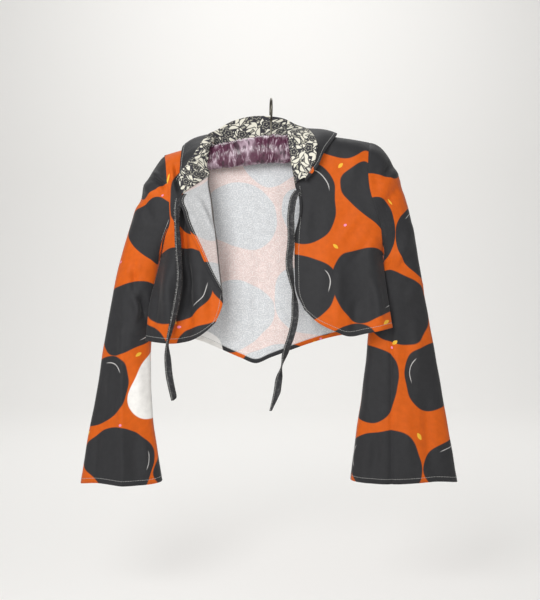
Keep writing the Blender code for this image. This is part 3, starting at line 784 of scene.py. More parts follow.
def folds(x, z, table):
    """Sum of a panel's soft folds: each is a bell across, growing from its start down."""
    total = np.zeros_like(x)
    for start_x, hem_x, start_z, half_width, rise in table:
        down = np.clip((start_z - z) / FOLD_GROWTH, 0, 1)
        middle = start_x + (hem_x - start_x) * down
        total = total + rise * down * np.exp(-((x - middle) / half_width) ** 2)
    return total


def creases(x, z, table):
    """Sum of listed creases.

    Each is a bell across a bowed line, with a shallower trough on one side, fading in and out along the line.
    """
    total = np.zeros_like(x)
    for x0, z0, x1, z1, bow, half_width, rise in table:
        length = math.hypot(x1 - x0, z1 - z0)
        along = np.clip(((x - x0) * (x1 - x0) + (z - z0) * (z1 - z0)) / length ** 2, 0, 1)
        off = ((x - x0) * (z1 - z0) - (z - z0) * (x1 - x0)) / length
        off = (off - 4 * bow * along * (1 - along)) / half_width
        trough = TROUGH_SHARE * np.exp(-((off - TROUGH_PLACE) / TROUGH_WIDTH) ** 2)
        fade = np.sin(math.pi * along) ** CREASE_FADE
        total = total + CREASE_SCALE * rise * fade * (np.exp(-off ** 2) - trough)
    return total


def drift(x, z):
    """Slow unevenness of hung cloth: the mean of three crossed waves."""
    waves = sum(share * np.sin(across * x + up * z + start) for across, up, start, share in DRIFT_WAVES)
    return DRIFT_RISE * waves / sum(wave[-1] for wave in DRIFT_WAVES)


def pressed(x, z, line):
    """A pressed crease: a sharp ridge that decays beside an upright line and fades in below a height."""
    line_x, start, rise, width = line
    down = np.clip((start - z) / PRESS_FADE, 0, 1)
    return rise * down * np.exp(-np.abs(x - line_x) / width)


def sewn(along, hem):
    """Rise at a sewn edge: the step of the turned-up hem, and puckers in a bell round the stitches."""
    wave = np.sin(2 * math.pi * along / PUCKER_PITCH + PUCKER_WANDER * np.sin(PUCKER_WANDER_RATE * along))
    step = HEM_STEP * np.clip((HEM_DEPTH + HEM_STEP_WIDTH / 2 - hem) / HEM_STEP_WIDTH, 0, 1)
    return step + PUCKER_RISE * wave * np.exp(-((hem - HEM_DEPTH) / PUCKER_REACH) ** 2)


def facing(grid, closed, flip):
    """Direction out of the right side of the cloth: across the columns' and the rows' run."""
    down = np.gradient(grid, axis=0)
    if closed:
        across = np.roll(grid, -1, axis=1) - np.roll(grid, 1, axis=1)
    else:
        across = np.gradient(grid, axis=1)
    out = unit(np.cross(across, down))
    return -out if flip else out


def up_the_column(grid):
    """Distance of each point from the last row, along its column."""
    return run_of(grid[::-1])[::-1]


def in_from_edge(grid):
    """Distance of each point from the last column, along its row."""
    return up_the_column(grid.swapaxes(0, 1)).T


def cut_place(grid):
    """Place of each point on the cut cloth: x across, and up its column from the hem's height."""
    return np.stack([grid[..., 0], grid[-1, :, 2] + up_the_column(grid)], axis=-1)


def side_rows(table, underarm):
    """Height, x, front depth and back depth of a side line at each row, from the shoulder to the hem."""
    top, middle, bottom = table[[0, underarm, -1], 0]
    upper = top + (middle - top) * UPPER_ROWS
    lower = middle + (bottom - middle) * LOWER_ROWS
    armhole = smooth(upper, table[:underarm + 1, 0], table[:underarm + 1, 1:])
    seam = smooth(lower, table[underarm:, 0], table[underarm:, 1:])
    return np.column_stack([np.concatenate([upper, lower]), np.concatenate([armhole, seam])])


def flat_patch(side, edge, top, hem, across):
    """x and height over a four-sided panel.

    Both are ruled straight across from the side to the edge. The bows of the top line and the hem are added,
    each fading towards the other.
    """
    down = ROW_SHARES[:, None]
    parts = []
    for part in (0, 1):
        start = side[:, part]
        end = edge[:, part]
        ruled = (1 - across) * start[:, None] + across * end[:, None]
        top_bow = np.interp(across, *top[part]) - ((1 - across) * start[0] + across * end[0])
        hem_bow = np.interp(across, *hem[part]) - ((1 - across) * start[-1] + across * end[-1])
        parts.append(ruled + (1 - down) * top_bow + down * hem_bow)
    return parts


def line_of(x, z):
    """A line as shares of its run along x, paired with its x and with its height."""
    share = (x - x[0]) / (x[-1] - x[0])
    return ((share, x), (share, z))


def hem_line(table, steps):
    """The smooth line of a hem, from its table."""
    x = np.linspace(table[0, 0], table[-1, 0], steps)
    return line_of(x, smooth(x, *table.T))


def side_blend(distance, reach, power):
    """1 at the side line, falling to 0 at the reach, rounded when the power is above 1."""
    return np.clip(1 - distance / reach, 0, 1) ** power


def front_panel(side_table, underarm, edge_table, hem_table, neck_x, fold_table, lapel):
    """Points of a front before its edge is turned.

    They run in rows from the shoulder to the hem and in columns from the side. They are a flat patch between
    four lines, set forward by the roll over the hanger and the folds, and drawn to the side line.
    """
    side = side_rows(side_table, underarm)
    side_xz = side[:, [1, 0]]
    edge_z = edge_table[0, 0] + (edge_table[-1, 0] - edge_table[0, 0]) * ROW_SHARES
    edge_z[0] = shoulder_line(neck_x)
    edge_xz = np.column_stack([smooth(edge_z, *edge_table.T), edge_z])
    top_x = np.linspace(side_xz[0, 0], neck_x, FRONT_TOP_STEPS)
    top = line_of(top_x, shoulder_line(top_x))
    if lapel:
        roll_x = smooth(edge_z, *LAPEL_ROLL.T)
        width = edge_xz[:, 0] - side_xz[:, 0]
        turn = np.minimum(roll_x - LAPEL_ROLL_INSET, edge_xz[:, 0] - LAPEL_LEAST_WIDTH) - side_xz[:, 0]
        turn = (turn / width)[:, None]
        across = np.hstack([turn * finer(BODY_COLUMNS)[:-1], turn + (1 - turn) * finer(LAPEL_COLUMNS)])
    else:
        across = np.tile(finer(FRONT_COLUMNS), (len(ROW_SHARES), 1))
    x, z = flat_patch(side_xz, edge_xz, top, hem_line(hem_table, FRONT_HEM_STEPS), across)
    y = -rolled(x, z, FRONT_DEPTH, FRONT_SWING) - folds(x, z, fold_table)
    near = side_blend(np.abs(x - x[:, :1]), SIDE_REACH, SIDE_POWER)
    y = y + (side[:, 2][:, None] - y) * near
    y[0] = 0
    return np.stack([x, y - SEAM_GAP, z], axis=-1)


def left_front():
    """Points of the left front before its edge curls."""
    return front_panel(SIDE_LEFT, UNDERARM_LEFT, EDGE_LEFT, HEM_LEFT, NECK_LEFT_X, FOLDS_LEFT, False)


def right_front():
    """Points of the right front before it is turned out."""
    return front_panel(SIDE_RIGHT, UNDERARM_RIGHT, EDGE_RIGHT, HEM_RIGHT, NECK_RIGHT_X, FOLDS_RIGHT, True)


def bent_back(grid, past, radius, most, towards):
    """The cloth that lies past a line, bent forward round it by an arc of the radius and laid on straight.

    past is each point's distance beyond the line, most the largest turn, and towards the sign of x beyond it.
    """
    bent = np.minimum(past / radius, most)
    flat = np.maximum(past - radius * most, 0)
    along = radius * np.sin(bent) + flat * math.cos(most)
    lift = radius * (1 - np.cos(bent)) + flat * math.sin(most)
    shift = np.stack([towards * (along - past), -lift, np.zeros_like(past)], axis=-1)
    return grid + shift, bent


def lapel_turned(grid):
    """The right front with the part beyond its roll line turned out and slanted down."""
    past = np.maximum(grid[..., 0] - smooth(grid[..., 2], *LAPEL_ROLL.T), 0)
    turned, bent = bent_back(grid, past, LAPEL_ROLL_RADIUS, math.radians(LAPEL_TURN), 1)
    turned[..., 2] -= LAPEL_SLANT * past * (1 - np.cos(bent)) / 2
    return turned, bent


def edge_curled(grid):
    """The left front with its edge curled out, by a width that swells and fades below the neck."""
    past = np.maximum(smooth(grid[..., 2], *CURL_LEFT.T) - in_from_edge(grid), 0)
    return bent_back(grid, past, CURL_RADIUS, math.radians(CURL_TURN), -1)


def back_panel():
    """Points of the back, in rows from the shoulders to the hem and columns from the right side to the left.

    A flat patch like a front's, set back by the roll over the hanger and the folds, and drawn to both sides.
    """
    right = side_rows(SIDE_RIGHT, UNDERARM_RIGHT)
    left = side_rows(SIDE_LEFT, UNDERARM_LEFT)
    top_x = np.linspace(right[0, 1], left[0, 1], BACK_STEPS)
    middle = (NECK_LEFT_X + NECK_RIGHT_X) / 2
    half = (NECK_LEFT_X - NECK_RIGHT_X) / 2
    dip = BACK_NECK_DIP * np.clip(1 - ((top_x - middle) / half) ** 2, 0, 1)
    top = line_of(top_x, shoulder_line(top_x) - dip)
    across = np.tile(finer(BACK_COLUMNS), (len(ROW_SHARES), 1))
    x, z = flat_patch(right[:, [1, 0]], left[:, [1, 0]], top, hem_line(HEM_BACK, BACK_STEPS), across)
    y = rolled(x, z, BACK_DEPTH, BACK_SWING) + folds(x, z, FOLDS_BACK)
    below = np.clip((ROW_SHARES - ARMHOLE_SHARE * BACK_EASE_START) / BACK_EASE_RUN, 0, 1)[:, None]
    for line, start in ((right, x[:, :1]), (left, x[:, -1:])):
        reach = SIDE_REACH + BACK_REACH_GAIN * below
        near = side_blend(np.abs(x - start), reach, SIDE_POWER - BACK_POWER_LOSS * below)
        y = y + (line[:, 3][:, None] - y) * near
    on_shoulder = np.abs(x[0] - middle) >= half - NECK_MARGIN
    y[0] = np.where(on_shoulder, 0, y[0])
    return np.stack([x, y + SEAM_GAP, z], axis=-1)


def section(angle, rows):
    """Level rings of a sleeve: a flattened oval with a soft ridge along its front, one ring for each row."""
    height, outer, inner, middle, half_depth, ridge_x, ridge_rise = rows.T[:, :, None]
    x = (outer + inner) / 2 + (outer - inner) / 2 * np.cos(angle)
    wave = np.sin(angle)
    y = middle - half_depth * np.sign(wave) * np.abs(wave) ** SLEEVE_OVAL_POWER
    ridge = ridge_rise * np.exp(-((x - ridge_x) / SLEEVE_RIDGE_WIDTH) ** 2)
    y = y - np.where(wave > 0, ridge, 0)
    return np.stack([x, y, height + 0 * x], axis=-1)


def relaxed(grid, times):
    """The grid with each inner row moved towards the mean of its neighbours, again and again."""
    for _ in range(times):
        grid[1:-1] = grid[1:-1] / 2 + (grid[:-2] + grid[2:]) / 4
    return grid


def sleeve(side_table, underarm, sections, head_outer, head_inner):
    """Points of a sleeve, in rings from the armhole to the cuff.

    The head is a quadratic curve from each point of the armhole, drawn towards two control points, to the
    first level ring. Each ring runs from the inner edge by the back, the outer edge and the front.
    """
    outward = np.sign(side_table[0, 1])
    half = side_rows(side_table, underarm)[:len(UPPER_ROWS)]
    front = half[:, [1, 2, 0]] + (0, -SEAM_GAP, 0)
    back = half[:, [1, 3, 0]] + (0, SEAM_GAP, 0)
    front[0, 1] = 0
    armhole = np.concatenate([front, back[-2:0:-1]])
    run = run_of(front)
    angle = math.pi * run / run[-1]
    angle = np.concatenate([angle, 2 * math.pi - angle[-2:0:-1]])
    low = (1 - np.cos(angle)) / 2
    armhole[:, 0] += outward * (SLEEVE_GAP + UNDERARM_CLEAR * low ** 2)
    rings = section(angle, smooth(finer(sections[:, 0]), sections[:, 0], sections))
    middle = (armhole + rings[0]) / 2
    foot = len(UPPER_ROWS) - 1
    top_pull = (1 - low)[:, None] ** HEAD_OUTER_POWER * (head_outer - middle[0])
    foot_pull = low[:, None] ** HEAD_INNER_POWER * (head_inner - middle[foot])
    puff = np.zeros_like(middle)
    puff[:, 1] = -HEAD_PUFF * np.sin(angle)
    control = middle + top_pull + foot_pull + puff
    t = finer((*SLEEVE_CAP_RINGS, 1))[:-1, None, None]
    cap = (1 - t) ** 2 * armhole + 2 * t * (1 - t) * control + t ** 2 * rings[0]
    grid = relaxed(np.concatenate([cap, rings]), SLEEVE_RELAX)
    return np.roll(grid, -foot, axis=1), foot


def sleeve_cut(grid, foot):
    """Place of each point on the cut sleeve: round from the outer edge, and up.

    The first column comes again at the end, so that the cut is open there.
    """
    wrapped = np.concatenate([grid, grid[:, :1]], axis=1)
    run = run_of(wrapped.swapaxes(0, 1)).T
    outer = run[:, grid.shape[1] - foot][:, None]
    return np.stack([run - outer, wrapped[-1, :, 2] + up_the_column(wrapped)], axis=-1)


def neckline(place):
    """Points of the neckline at the given places, along the right front, the back neck and the left front."""
    back_row = back_panel()[0]
    after_right = back_row[:, 0] > NECK_RIGHT_X - NECK_MARGIN
    before_left = back_row[:, 0] < NECK_LEFT_X + NECK_MARGIN
    right = lapel_turned(right_front())[0][CORNER_ROW_RIGHT * FINE::-1, -1]
    left = left_front()[:CORNER_ROW_LEFT * FINE + 1, -1]
    part = np.minimum(place.astype(int), 2)
    points = np.zeros((len(place), 3))
    for k, line in enumerate((right, back_row[after_right & before_left], left)):
        points[part == k] = resampled(line, (place - k)[part == k])
    return points


def collar_lines():
    """Neck seam, fold and leaf edge of the collar at even steps along it."""
    rows = spread(COLLAR, COLLAR_ALONG * FINE)
    step = np.stack([np.zeros(len(rows)), -rows[:, 1], rows[:, 2]], axis=-1)
    return neckline(np.clip(rows[:, 0], 0, 3)) + step, rows[:, 3:6], rows[:, 6:9]


def collar_outward():
    """Direction out of the stand, towards the leaf, at each step along the collar."""
    seam, fold, leaf = collar_lines()
    out = unit(np.cross(np.gradient(fold, axis=0), fold - seam))
    towards = np.sign(np.sum(out * (leaf - fold), axis=1, keepdims=True))
    return out * towards


def collar_stand():
    """Points of the stand: a bulge from the neck seam up to the fold, and a third of a turn over it."""
    seam, fold, _ = collar_lines()
    out = collar_outward()[:, None]
    share = np.linspace(0, 1, STAND_ACROSS * FINE)[None, :, None]
    bulge = 4 * share * (1 - share) * STAND_BULGE
    wall = seam[:, None] * (1 - share) + fold[:, None] * share - bulge * out
    up = unit(fold - seam)[:, None]
    turn = np.radians(np.linspace(*STAND_ROLL))[None, :, None]
    roll = fold[:, None] + STAND_ROLL_RADIUS * (out * (1 - np.cos(turn)) + up * np.sin(turn))
    return np.concatenate([wall, roll], axis=1)


def collar_leaf():
    """Points of the leaf, from just outside the fold down to its free edge, arched upwards."""
    _, fold, leaf = collar_lines()
    out = collar_outward()
    start = fold + out * LEAF_START
    share = np.linspace(0, 1, LEAF_ACROSS * FINE)[None, :, None]
    width = np.linalg.norm(leaf - fold, axis=1)[:, None, None]
    bulge = 4 * share * (1 - share) * np.minimum(LEAF_BULGE, LEAF_BULGE_SHARE * width)
    up = unit(out * LEAF_LEAN + np.array((0, 0, 1.0)))
    return start[:, None] * (1 - share) + leaf[:, None] * share + bulge * up[:, None]


def strip_cut(grid):
    """Place of each point on a cut strip: along its first column's run, and across its own row."""
    along = run_of(grid[:, 0])[:, None] + np.zeros(grid.shape[:2])
    return np.stack([along, run_of(grid.swapaxes(0, 1)).T], axis=-1)


def tie(table, point):
    """Middle line of a flat tie, and its points, turned about that line and cut to a point at the end."""
    rows = spread(table, TIE_STEPS * len(table))
    turn = np.radians(rows[:, 3])
    across = np.stack([np.cos(turn), np.sin(turn), np.zeros_like(turn)], axis=-1)
    share = np.linspace(-0.5, 0.5, TIE_ACROSS)[None, :, None]
    run = run_of(rows[:, :3])
    cut = (1 - TIE_END_SHARE) * (1 - np.clip((run[-1] - run) / point, 0, 1))[:, None, None]
    share = share - cut * (share + 0.5)
    return rows[:, :3], rows[:, None, :3] + TIE_WIDTH * share * across[:, None]


def satin_wave(angle, along, wave):
    """A wave over the satin, of so many turns round the hanger, a rate along it and a start."""
    turns, rate, start = wave
    return np.sin(turns * angle + rate * along + start)


def gathered_satin():
    """Points of the padded hanger: the oval rings of its solid, drawn in by gathers.

    The gathers run round the hanger as puffs between sharp lines, where a wave along it, bent by slower
    waves, crosses nought. A finer wave crumples the puffs, and a seam pulls them in at the middle.
    """
    x = -HANGER_HALF_LENGTH * np.cos(np.linspace(0, math.pi, SATIN_ALONG))[:, None]
    angle = np.linspace(0, 2 * math.pi, SATIN_AROUND, endpoint=False)[None, :]
    share = np.abs(x) / HANGER_HALF_LENGTH
    past = np.maximum(np.abs(x) - (HANGER_HALF_LENGTH - HANGER_END_ROUND), 0) / HANGER_END_ROUND
    rounding = np.sqrt(np.maximum(1 - past ** 2, END_LEAST))
    height = HANGER_HEIGHT + (HANGER_END_HEIGHT - HANGER_HEIGHT) * share ** HANGER_HEIGHT_POWER
    depth = (HANGER_HALF_DEPTH + (HANGER_END_HALF_DEPTH - HANGER_HALF_DEPTH) * share) * rounding
    along = x + sum(size * satin_wave(angle, x, wave) for size, wave in GATHER_BENDS)
    puff = np.abs(np.sin(math.pi * along / GATHER_PITCH)) ** PUFF_POWER
    puff = puff * (1 - PUFF_CHANGE + PUFF_CHANGE * satin_wave(angle, along, PUFF_WAVE))
    bend = CRUMPLE_BEND * satin_wave(angle, x, CRUMPLE_BEND_WAVE)
    fine = np.abs(np.sin(math.pi * along / (CRUMPLE_SHARE * GATHER_PITCH) + bend))
    crumple = fine * (0.5 + 0.5 * satin_wave(angle, along, CRUMPLE_WAVE))
    seam = np.exp(-((x - SATIN_SEAM_X) / SATIN_SEAM_WIDTH) ** 2)
    pulled = GATHER_DEPTH * (1 - puff) + CRUMPLE_DEPTH * (1 - crumple) + SATIN_SEAM_DEPTH * seam
    y = (depth - pulled * rounding) * np.cos(angle)
    z = hanger_top(x) - height / 2 + (height / 2 * rounding - pulled * rounding) * np.sin(angle)
    return np.stack([x + 0 * y, y, z], axis=-1)


def hook_wire():
    """Points of the hook's wire: a round profile carried up the shank, by the front and top, to the tip."""
    middle = HOOK_WIRE_RADIUS - HOOK_BEND_RADIUS - HOOK_DROP
    foot = HANGER_TOP - HOOK_FOOT_DEPTH
    low = middle - HOOK_BEND_RADIUS
    turn = np.radians(np.arange(HOOK_START_ANGLE, -360 + HOOK_TIP_ANGLE + 1, -HOOK_ANGLE_STEP))
    bend = np.stack([HOOK_BEND_RADIUS * np.cos(turn), middle + HOOK_BEND_RADIUS * np.sin(turn)], axis=-1)
    knee = HOOK_KNEE + (0, low)
    shank = np.array([(0, foot), (0, (foot + low) / 2 - HOOK_SHANK_DROP)])
    knots = np.concatenate([shank, knee, bend])
    line = spread(knots, HOOK_STEPS * len(knots))
    turned = math.radians(HOOK_TURN)
    path = np.column_stack([-line[:, 0] * math.sin(turned), line[:, 0] * math.cos(turned), line[:, 1]])
    side = np.array((math.cos(turned), math.sin(turned), 0))
    other = np.cross(unit(np.gradient(path, axis=0)), side)
    angle = np.linspace(0, 2 * math.pi, HOOK_AROUND, endpoint=False)[None, :, None]
    from_end = np.minimum(np.arange(len(path)), np.arange(len(path))[::-1])[:, None, None]
    radius = HOOK_WIRE_RADIUS * np.sqrt(np.clip(from_end / HOOK_END_STEPS, END_LEAST, 1))
    return path[:, None] + radius * (side * np.cos(angle) + other[:, None] * np.sin(angle))


def stitch_row(line, out):
    """Points and faces of a row of stitches: short threads, each a run of rings that dips at both ends."""
    run = run_of(line)
    count = int(run[-1] // STITCH_PITCH)
    share, lift = np.array(STITCH_SHAPE).T
    at = np.arange(count)[:, None] * STITCH_PITCH + share * STITCH_LENGTH
    path = np.stack([np.interp(at, run, part) for part in line.T], axis=-1)
    away = unit(np.stack([np.interp(at, run, part) for part in out.T], axis=-1))
    side = unit(np.cross(unit(path[:, -1:] - path[:, :1]), away))
    angle = np.linspace(0, 2 * math.pi, THREAD_SIDES, endpoint=False)[:, None]
    profile = side[:, :, None] * np.cos(angle) + THREAD_FLATNESS * away[:, :, None] * np.sin(angle)
    points = (path + away * (lift[:, None] * THREAD_RADIUS))[:, :, None] + THREAD_RADIUS * profile
    corner = np.arange(THREAD_SIDES)
    after = (corner + 1) % THREAD_SIDES
    last = THREAD_SIDES * (len(STITCH_SHAPE) - 1)
    ring = np.arange(0, last, THREAD_SIDES)[:, None]
    further = ring + THREAD_SIDES
    quads = np.stack([ring + corner, further + corner, further + after, ring + after], axis=-1)
    one = np.concatenate([quads.reshape(-1, 4), THREAD_END, last + THREAD_END[:, ::-1]])
    faces = one + (last + THREAD_SIDES) * np.arange(count)[:, None, None]
    return points.reshape(-1, 3), faces.reshape(-1, 4)


def linear(colour):
    """Red, green, blue and alpha of an sRGB hex colour as linear numbers."""
    part = np.array([int(colour[k:k + 2], 16) for k in (1, 3, 5)]) / 255
    light = np.where(part <= 0.04045, part / 12.92, ((part + 0.055) / 1.055) ** 2.4)
    return (*light, 1.0)


def feed(tree, node, inputs):
    """Link or set a node's inputs, each to a socket, a node's first output, a hex colour or a value."""
    for key, value in inputs.items():
        if isinstance(value, bpy.types.Node):
            value = value.outputs[0]
        if isinstance(value, bpy.types.NodeSocket):
            tree.links.new(value, node.inputs[key])
        else:
            node.inputs[key].default_value = linear(value) if isinstance(value, str) else value


def add(tree, kind, inputs, **settings):
    """Add a shader node with its settings, and link or set its inputs."""
    node = tree.nodes.new("ShaderNode" + kind)
    for name, value in settings.items():
        setattr(node, name, value)
    feed(tree, node, inputs)
    return node


def new_group(name, inputs, outputs):
    """An empty node group with sockets of the given names and kinds, its inputs, and its output node."""
    tree = bpy.data.node_groups.new(name, "ShaderNodeTree")
    for way, sockets in (("INPUT", inputs), ("OUTPUT", outputs)):
        for socket, kind in sockets.items():
            tree.interface.new_socket(socket, in_out=way, socket_type="NodeSocket" + kind)
    return tree, tree.nodes.new("NodeGroupInput").outputs, tree.nodes.new("NodeGroupOutput")


def new_material(name):
    """A material with an empty tree, and the tree."""
    material = bpy.data.materials.new(name)
    material.use_nodes = True
    material.node_tree.nodes.clear()
    return material, material.node_tree


def finished(material, inputs):
    """The material with a surface shader that has the given inputs."""
    tree = material.node_tree
    shader = add(tree, "BsdfPrincipled", inputs)
    add(tree, "OutputMaterial", {"Surface": shader})
    return material


def shape_group():
    """Group that draws one rounded shape of the print, and a light line inside it.

    The way from the shape's middle, repeated with the print, is turned, scaled and tapered, and powers of its
    two parts are added. The shape is where the sum is below 1, and the line where it is near SHINE_PLACE, on
    one side of the shape.
    """
    tree, given, made = new_group(
        "rounded_shape",
        {"Place": "Vector", "Middle": "Vector", "Halves": "Vector", "Turn": "Float", "Taper": "Float",
         "Power": "Float"},
        {"Fill": "Float", "Shine": "Float"})
    half = PRINT_REPEAT / 2
    away = add(tree, "VectorMath", {0: given["Place"], 1: given["Middle"]}, operation="SUBTRACT")
    near = add(tree, "VectorMath", {0: away, 1: (half, half, 1), 2: (-half, -half, -1)}, operation="WRAP")
    turned = add(tree, "VectorRotate", {"Vector": near, "Angle": given["Turn"]}, rotation_type="Z_AXIS")
    scaled = add(tree, "VectorMath", {0: turned, 1: given["Halves"]}, operation="DIVIDE")
    split = add(tree, "SeparateXYZ", {0: scaled}).outputs
    narrow = add(tree, "Math", {0: split["Y"], 1: given["Taper"], 2: 1.0}, operation="MULTIPLY_ADD")
    across = add(tree, "Math", {0: split["X"], 1: narrow}, operation="MULTIPLY")
    powers = []
    for part in (across, split["Y"]):
        size = add(tree, "Math", {0: part}, operation="ABSOLUTE")
        powers.append(add(tree, "Math", {0: size, 1: given["Power"]}, operation="POWER"))
    total = add(tree, "Math", {0: powers[0], 1: powers[1]}, operation="ADD")
    fill = add(tree, "MapRange", {"Value": total, "From Min": 1 + PRINT_SOFT, "From Max": 1 - PRINT_SOFT})
    off = add(tree, "Math", {0: total, 1: SHINE_PLACE}, operation="SUBTRACT")
    near_line = add(tree, "Math", {0: off}, operation="ABSOLUTE")
    line = add(tree, "MapRange", {"Value": near_line, "From Min": SHINE_OUTER, "From Max": SHINE_INNER})
    lean = add(tree, "Math", {0: split["Y"], 1: SHINE_LEAN, 2: across}, operation="MULTIPLY_ADD")
    side = add(tree, "MapRange", {"Value": lean, "From Min": SHINE_START, "From Max": SHINE_FULL})
    shine = add(tree, "Math", {0: line, 1: side}, operation="MULTIPLY")
    feed(tree, made, {"Fill": fill, "Shine": shine})
    return tree


def print_group():
    """Group of the printed cotton's design: where it is dark, white, yellow, pink, or has a light line."""
    shape = shape_group()
    masks = {"Dark": [], "White": [], "Yellow": [], "Pink": [], "Shine": []}
    tree, given, made = new_group("plum_print", {"Place": "Vector"}, dict.fromkeys(masks, "Float"))
    drawn = [("White" if row[6] else "Dark", row[:5], row[5], PLUM_POWER) for row in PLUMS]
    drawn += [("Yellow", row, 0.0, YELLOW_LEAF_POWER) for row in YELLOW_LEAVES]
    drawn += [("Pink", row, 0.0, PINK_BERRY_POWER) for row in PINK_BERRIES]
    for mask, (across, up, half_width, half_height, turn), taper, power in drawn:
        motif = add(
            tree, "Group",
            {"Place": given["Place"], "Middle": (across, up, 0), "Halves": (half_width, half_height, 1),
             "Turn": math.radians(turn), "Taper": taper, "Power": power},
            node_tree=shape)
        masks[mask].append(motif.outputs["Fill"])
        if power == PLUM_POWER:
            masks["Shine"].append(motif.outputs["Shine"])
    for mask, parts in masks.items():
        greatest = parts[0]
        for part in parts[1:]:
            greatest = add(tree, "Math", {0: greatest, 1: part}, operation="MAXIMUM")
        feed(tree, made, {mask: greatest})
    return tree


def layered(tree, ground, layers):
    """Colour of a ground with each layer's colour laid over it where its mask is 1."""
    for mask, colour in layers:
        ground = add(tree, "Mix", {"Factor": mask, 6: ground, 7: colour}, data_type="RGBA").outputs[2]
    return ground


def weave(tree, place, strength):
    """Bump of a plain weave: threads along and across the cloth."""
    scale = 2 * math.pi / (WAVE_RATE * WEAVE_PERIOD)
    threads = []
    for direction in ("X", "Y"):
        wave = add(tree, "TexWave", {"Vector": place, "Scale": scale, "Distortion": 0.6, "Detail": 1.0},
                   bands_direction=direction)
        threads.append(wave.outputs["Fac"])
    height = add(tree, "Math", {0: threads[0], 1: threads[1]}, operation="ADD")
    return add(tree, "Bump", {"Strength": strength, "Distance": WEAVE_DEPTH, "Height": height})


def printed_cotton(name, design_tree, wrong_side):
    """Plain-woven cotton, printed on one side: flat matt colour, paler and speckled on the wrong side.

    The wrong side shows the right side's colours on its turned-up hem, and painted shade on the lapel,
    deepest at its roll.
    """
    material, tree = new_material(name)
    place = add(tree, "UVMap", {}, uv_map="cloth").outputs[0]
    bend = add(tree, "TexNoise", {"Vector": place, "Scale": PRINT_BENDS, "Detail": 1.0}).outputs["Color"]
    moved = add(tree, "VectorMath", {0: bend, 1: (PRINT_SHIFT, PRINT_SHIFT, 0.0), 2: place},
                operation="MULTIPLY_ADD")
    design = add(tree, "Group", {"Place": moved}, node_tree=design_tree).outputs
    hem = add(tree, "Attribute", {}, attribute_name="hem").outputs["Fac"]
    clear = add(tree, "MapRange",
                {"Value": hem, "From Min": SHINE_CLEAR, "From Max": SHINE_CLEAR + SHINE_FADE})
    shine = add(tree, "Math", {0: design["Shine"], 1: clear}, operation="MULTIPLY")
    shown = layered(tree, ORANGE, (
        (design["Dark"], CHARCOAL), (design["White"], WHITE), (shine, SHINE_GREY), (design["Yellow"], YELLOW),
        (design["Pink"], PINK)))
    if wrong_side:
        grain = add(tree, "TexNoise", {"Vector": place, "Scale": SPECKLES, "Detail": 1.0})
        speckle = add(tree, "MapRange", {"Value": grain, "From Min": 0.46, "From Max": 0.62, "To Max": 0.42})
        folded = add(tree, "MapRange",
                     {"Value": hem, "From Min": HEM_DEPTH + HEM_SOFT, "From Max": HEM_DEPTH - HEM_SOFT})
        # Painted shade over the turned lapel, and a darker painted shadow along its roll
        painted_lapel_shade = add(tree, "Attribute", {}, attribute_name="shade").outputs["Fac"]
        shown = layered(tree, PALE_PINK, (
            (design["Dark"], PALE_GREY), (design["White"], PALE_WHITE), (speckle, PALE_WHITE),
            (painted_lapel_shade, PAINTED_SHADE_BROWN), (folded, shown)))
    blotch = add(tree, "TexNoise", {"Vector": place, "Scale": BLOTCHES, "Detail": 3.0})
    worn = add(tree, "MapRange",
               {"Value": blotch, "From Min": 0.3, "From Max": 0.7, "To Min": 0.93, "To Max": 1.05})
    shade = add(tree, "VectorMath", {0: shown, "Scale": worn}, operation="SCALE")
    soft = add(tree, "TexNoise", {"Vector": place, "Scale": RIPPLES, "Detail": 2.0, "Roughness": 0.45})
    ripple = add(tree, "Bump", {"Strength": 0.30, "Distance": RIPPLE_DEPTH, "Height": soft,
                                "Normal": weave(tree, place, 0.35)})
    return finished(material, {
        "Base Color": shade, "Normal": ripple, "Roughness": 0.62, "Specular IOR Level": 0.20,
        "Sheen Weight": 0.10, "Sheen Roughness": 0.5})


def cell_group():
    """Group that scatters one motif a cell: the randomly turned way from its middle, and a random number."""
    tree, given, made = new_group(
        "scattered_cells", {"Place": "Vector", "Cell": "Float"}, {"Away": "Vector", "Chance": "Float"})
    scale = add(tree, "Math", {0: 1.0, 1: given["Cell"]}, operation="DIVIDE")
    cells = add(tree, "TexVoronoi", {"Vector": given["Place"], "Scale": scale, "Randomness": 0.85},
                voronoi_dimensions="2D").outputs
    away = add(tree, "VectorMath", {0: given["Place"], 1: cells["Position"]}, operation="SUBTRACT")
    chance = add(tree, "SeparateColor", {0: cells["Color"]}).outputs
    angle = add(tree, "Math", {0: chance[0], 1: 2 * math.pi}, operation="MULTIPLY")
    turned = add(tree, "VectorRotate", {"Vector": away, "Angle": angle}, rotation_type="Z_AXIS")
    feed(tree, made, {"Away": turned, "Chance": chance[1]})
    return tree


def between(tree, value, low, high):
    """Soft mask that is 1 where a value lies between two others."""
    rising = {"Value": value, "From Min": low - FLORAL_SOFT, "From Max": low + FLORAL_SOFT}
    falling = {"Value": value, "From Min": high + FLORAL_SOFT, "From Max": high - FLORAL_SOFT}
    return add(tree, "Math", {0: add(tree, "MapRange", rising), 1: add(tree, "MapRange", falling)},
               operation="MULTIPLY")


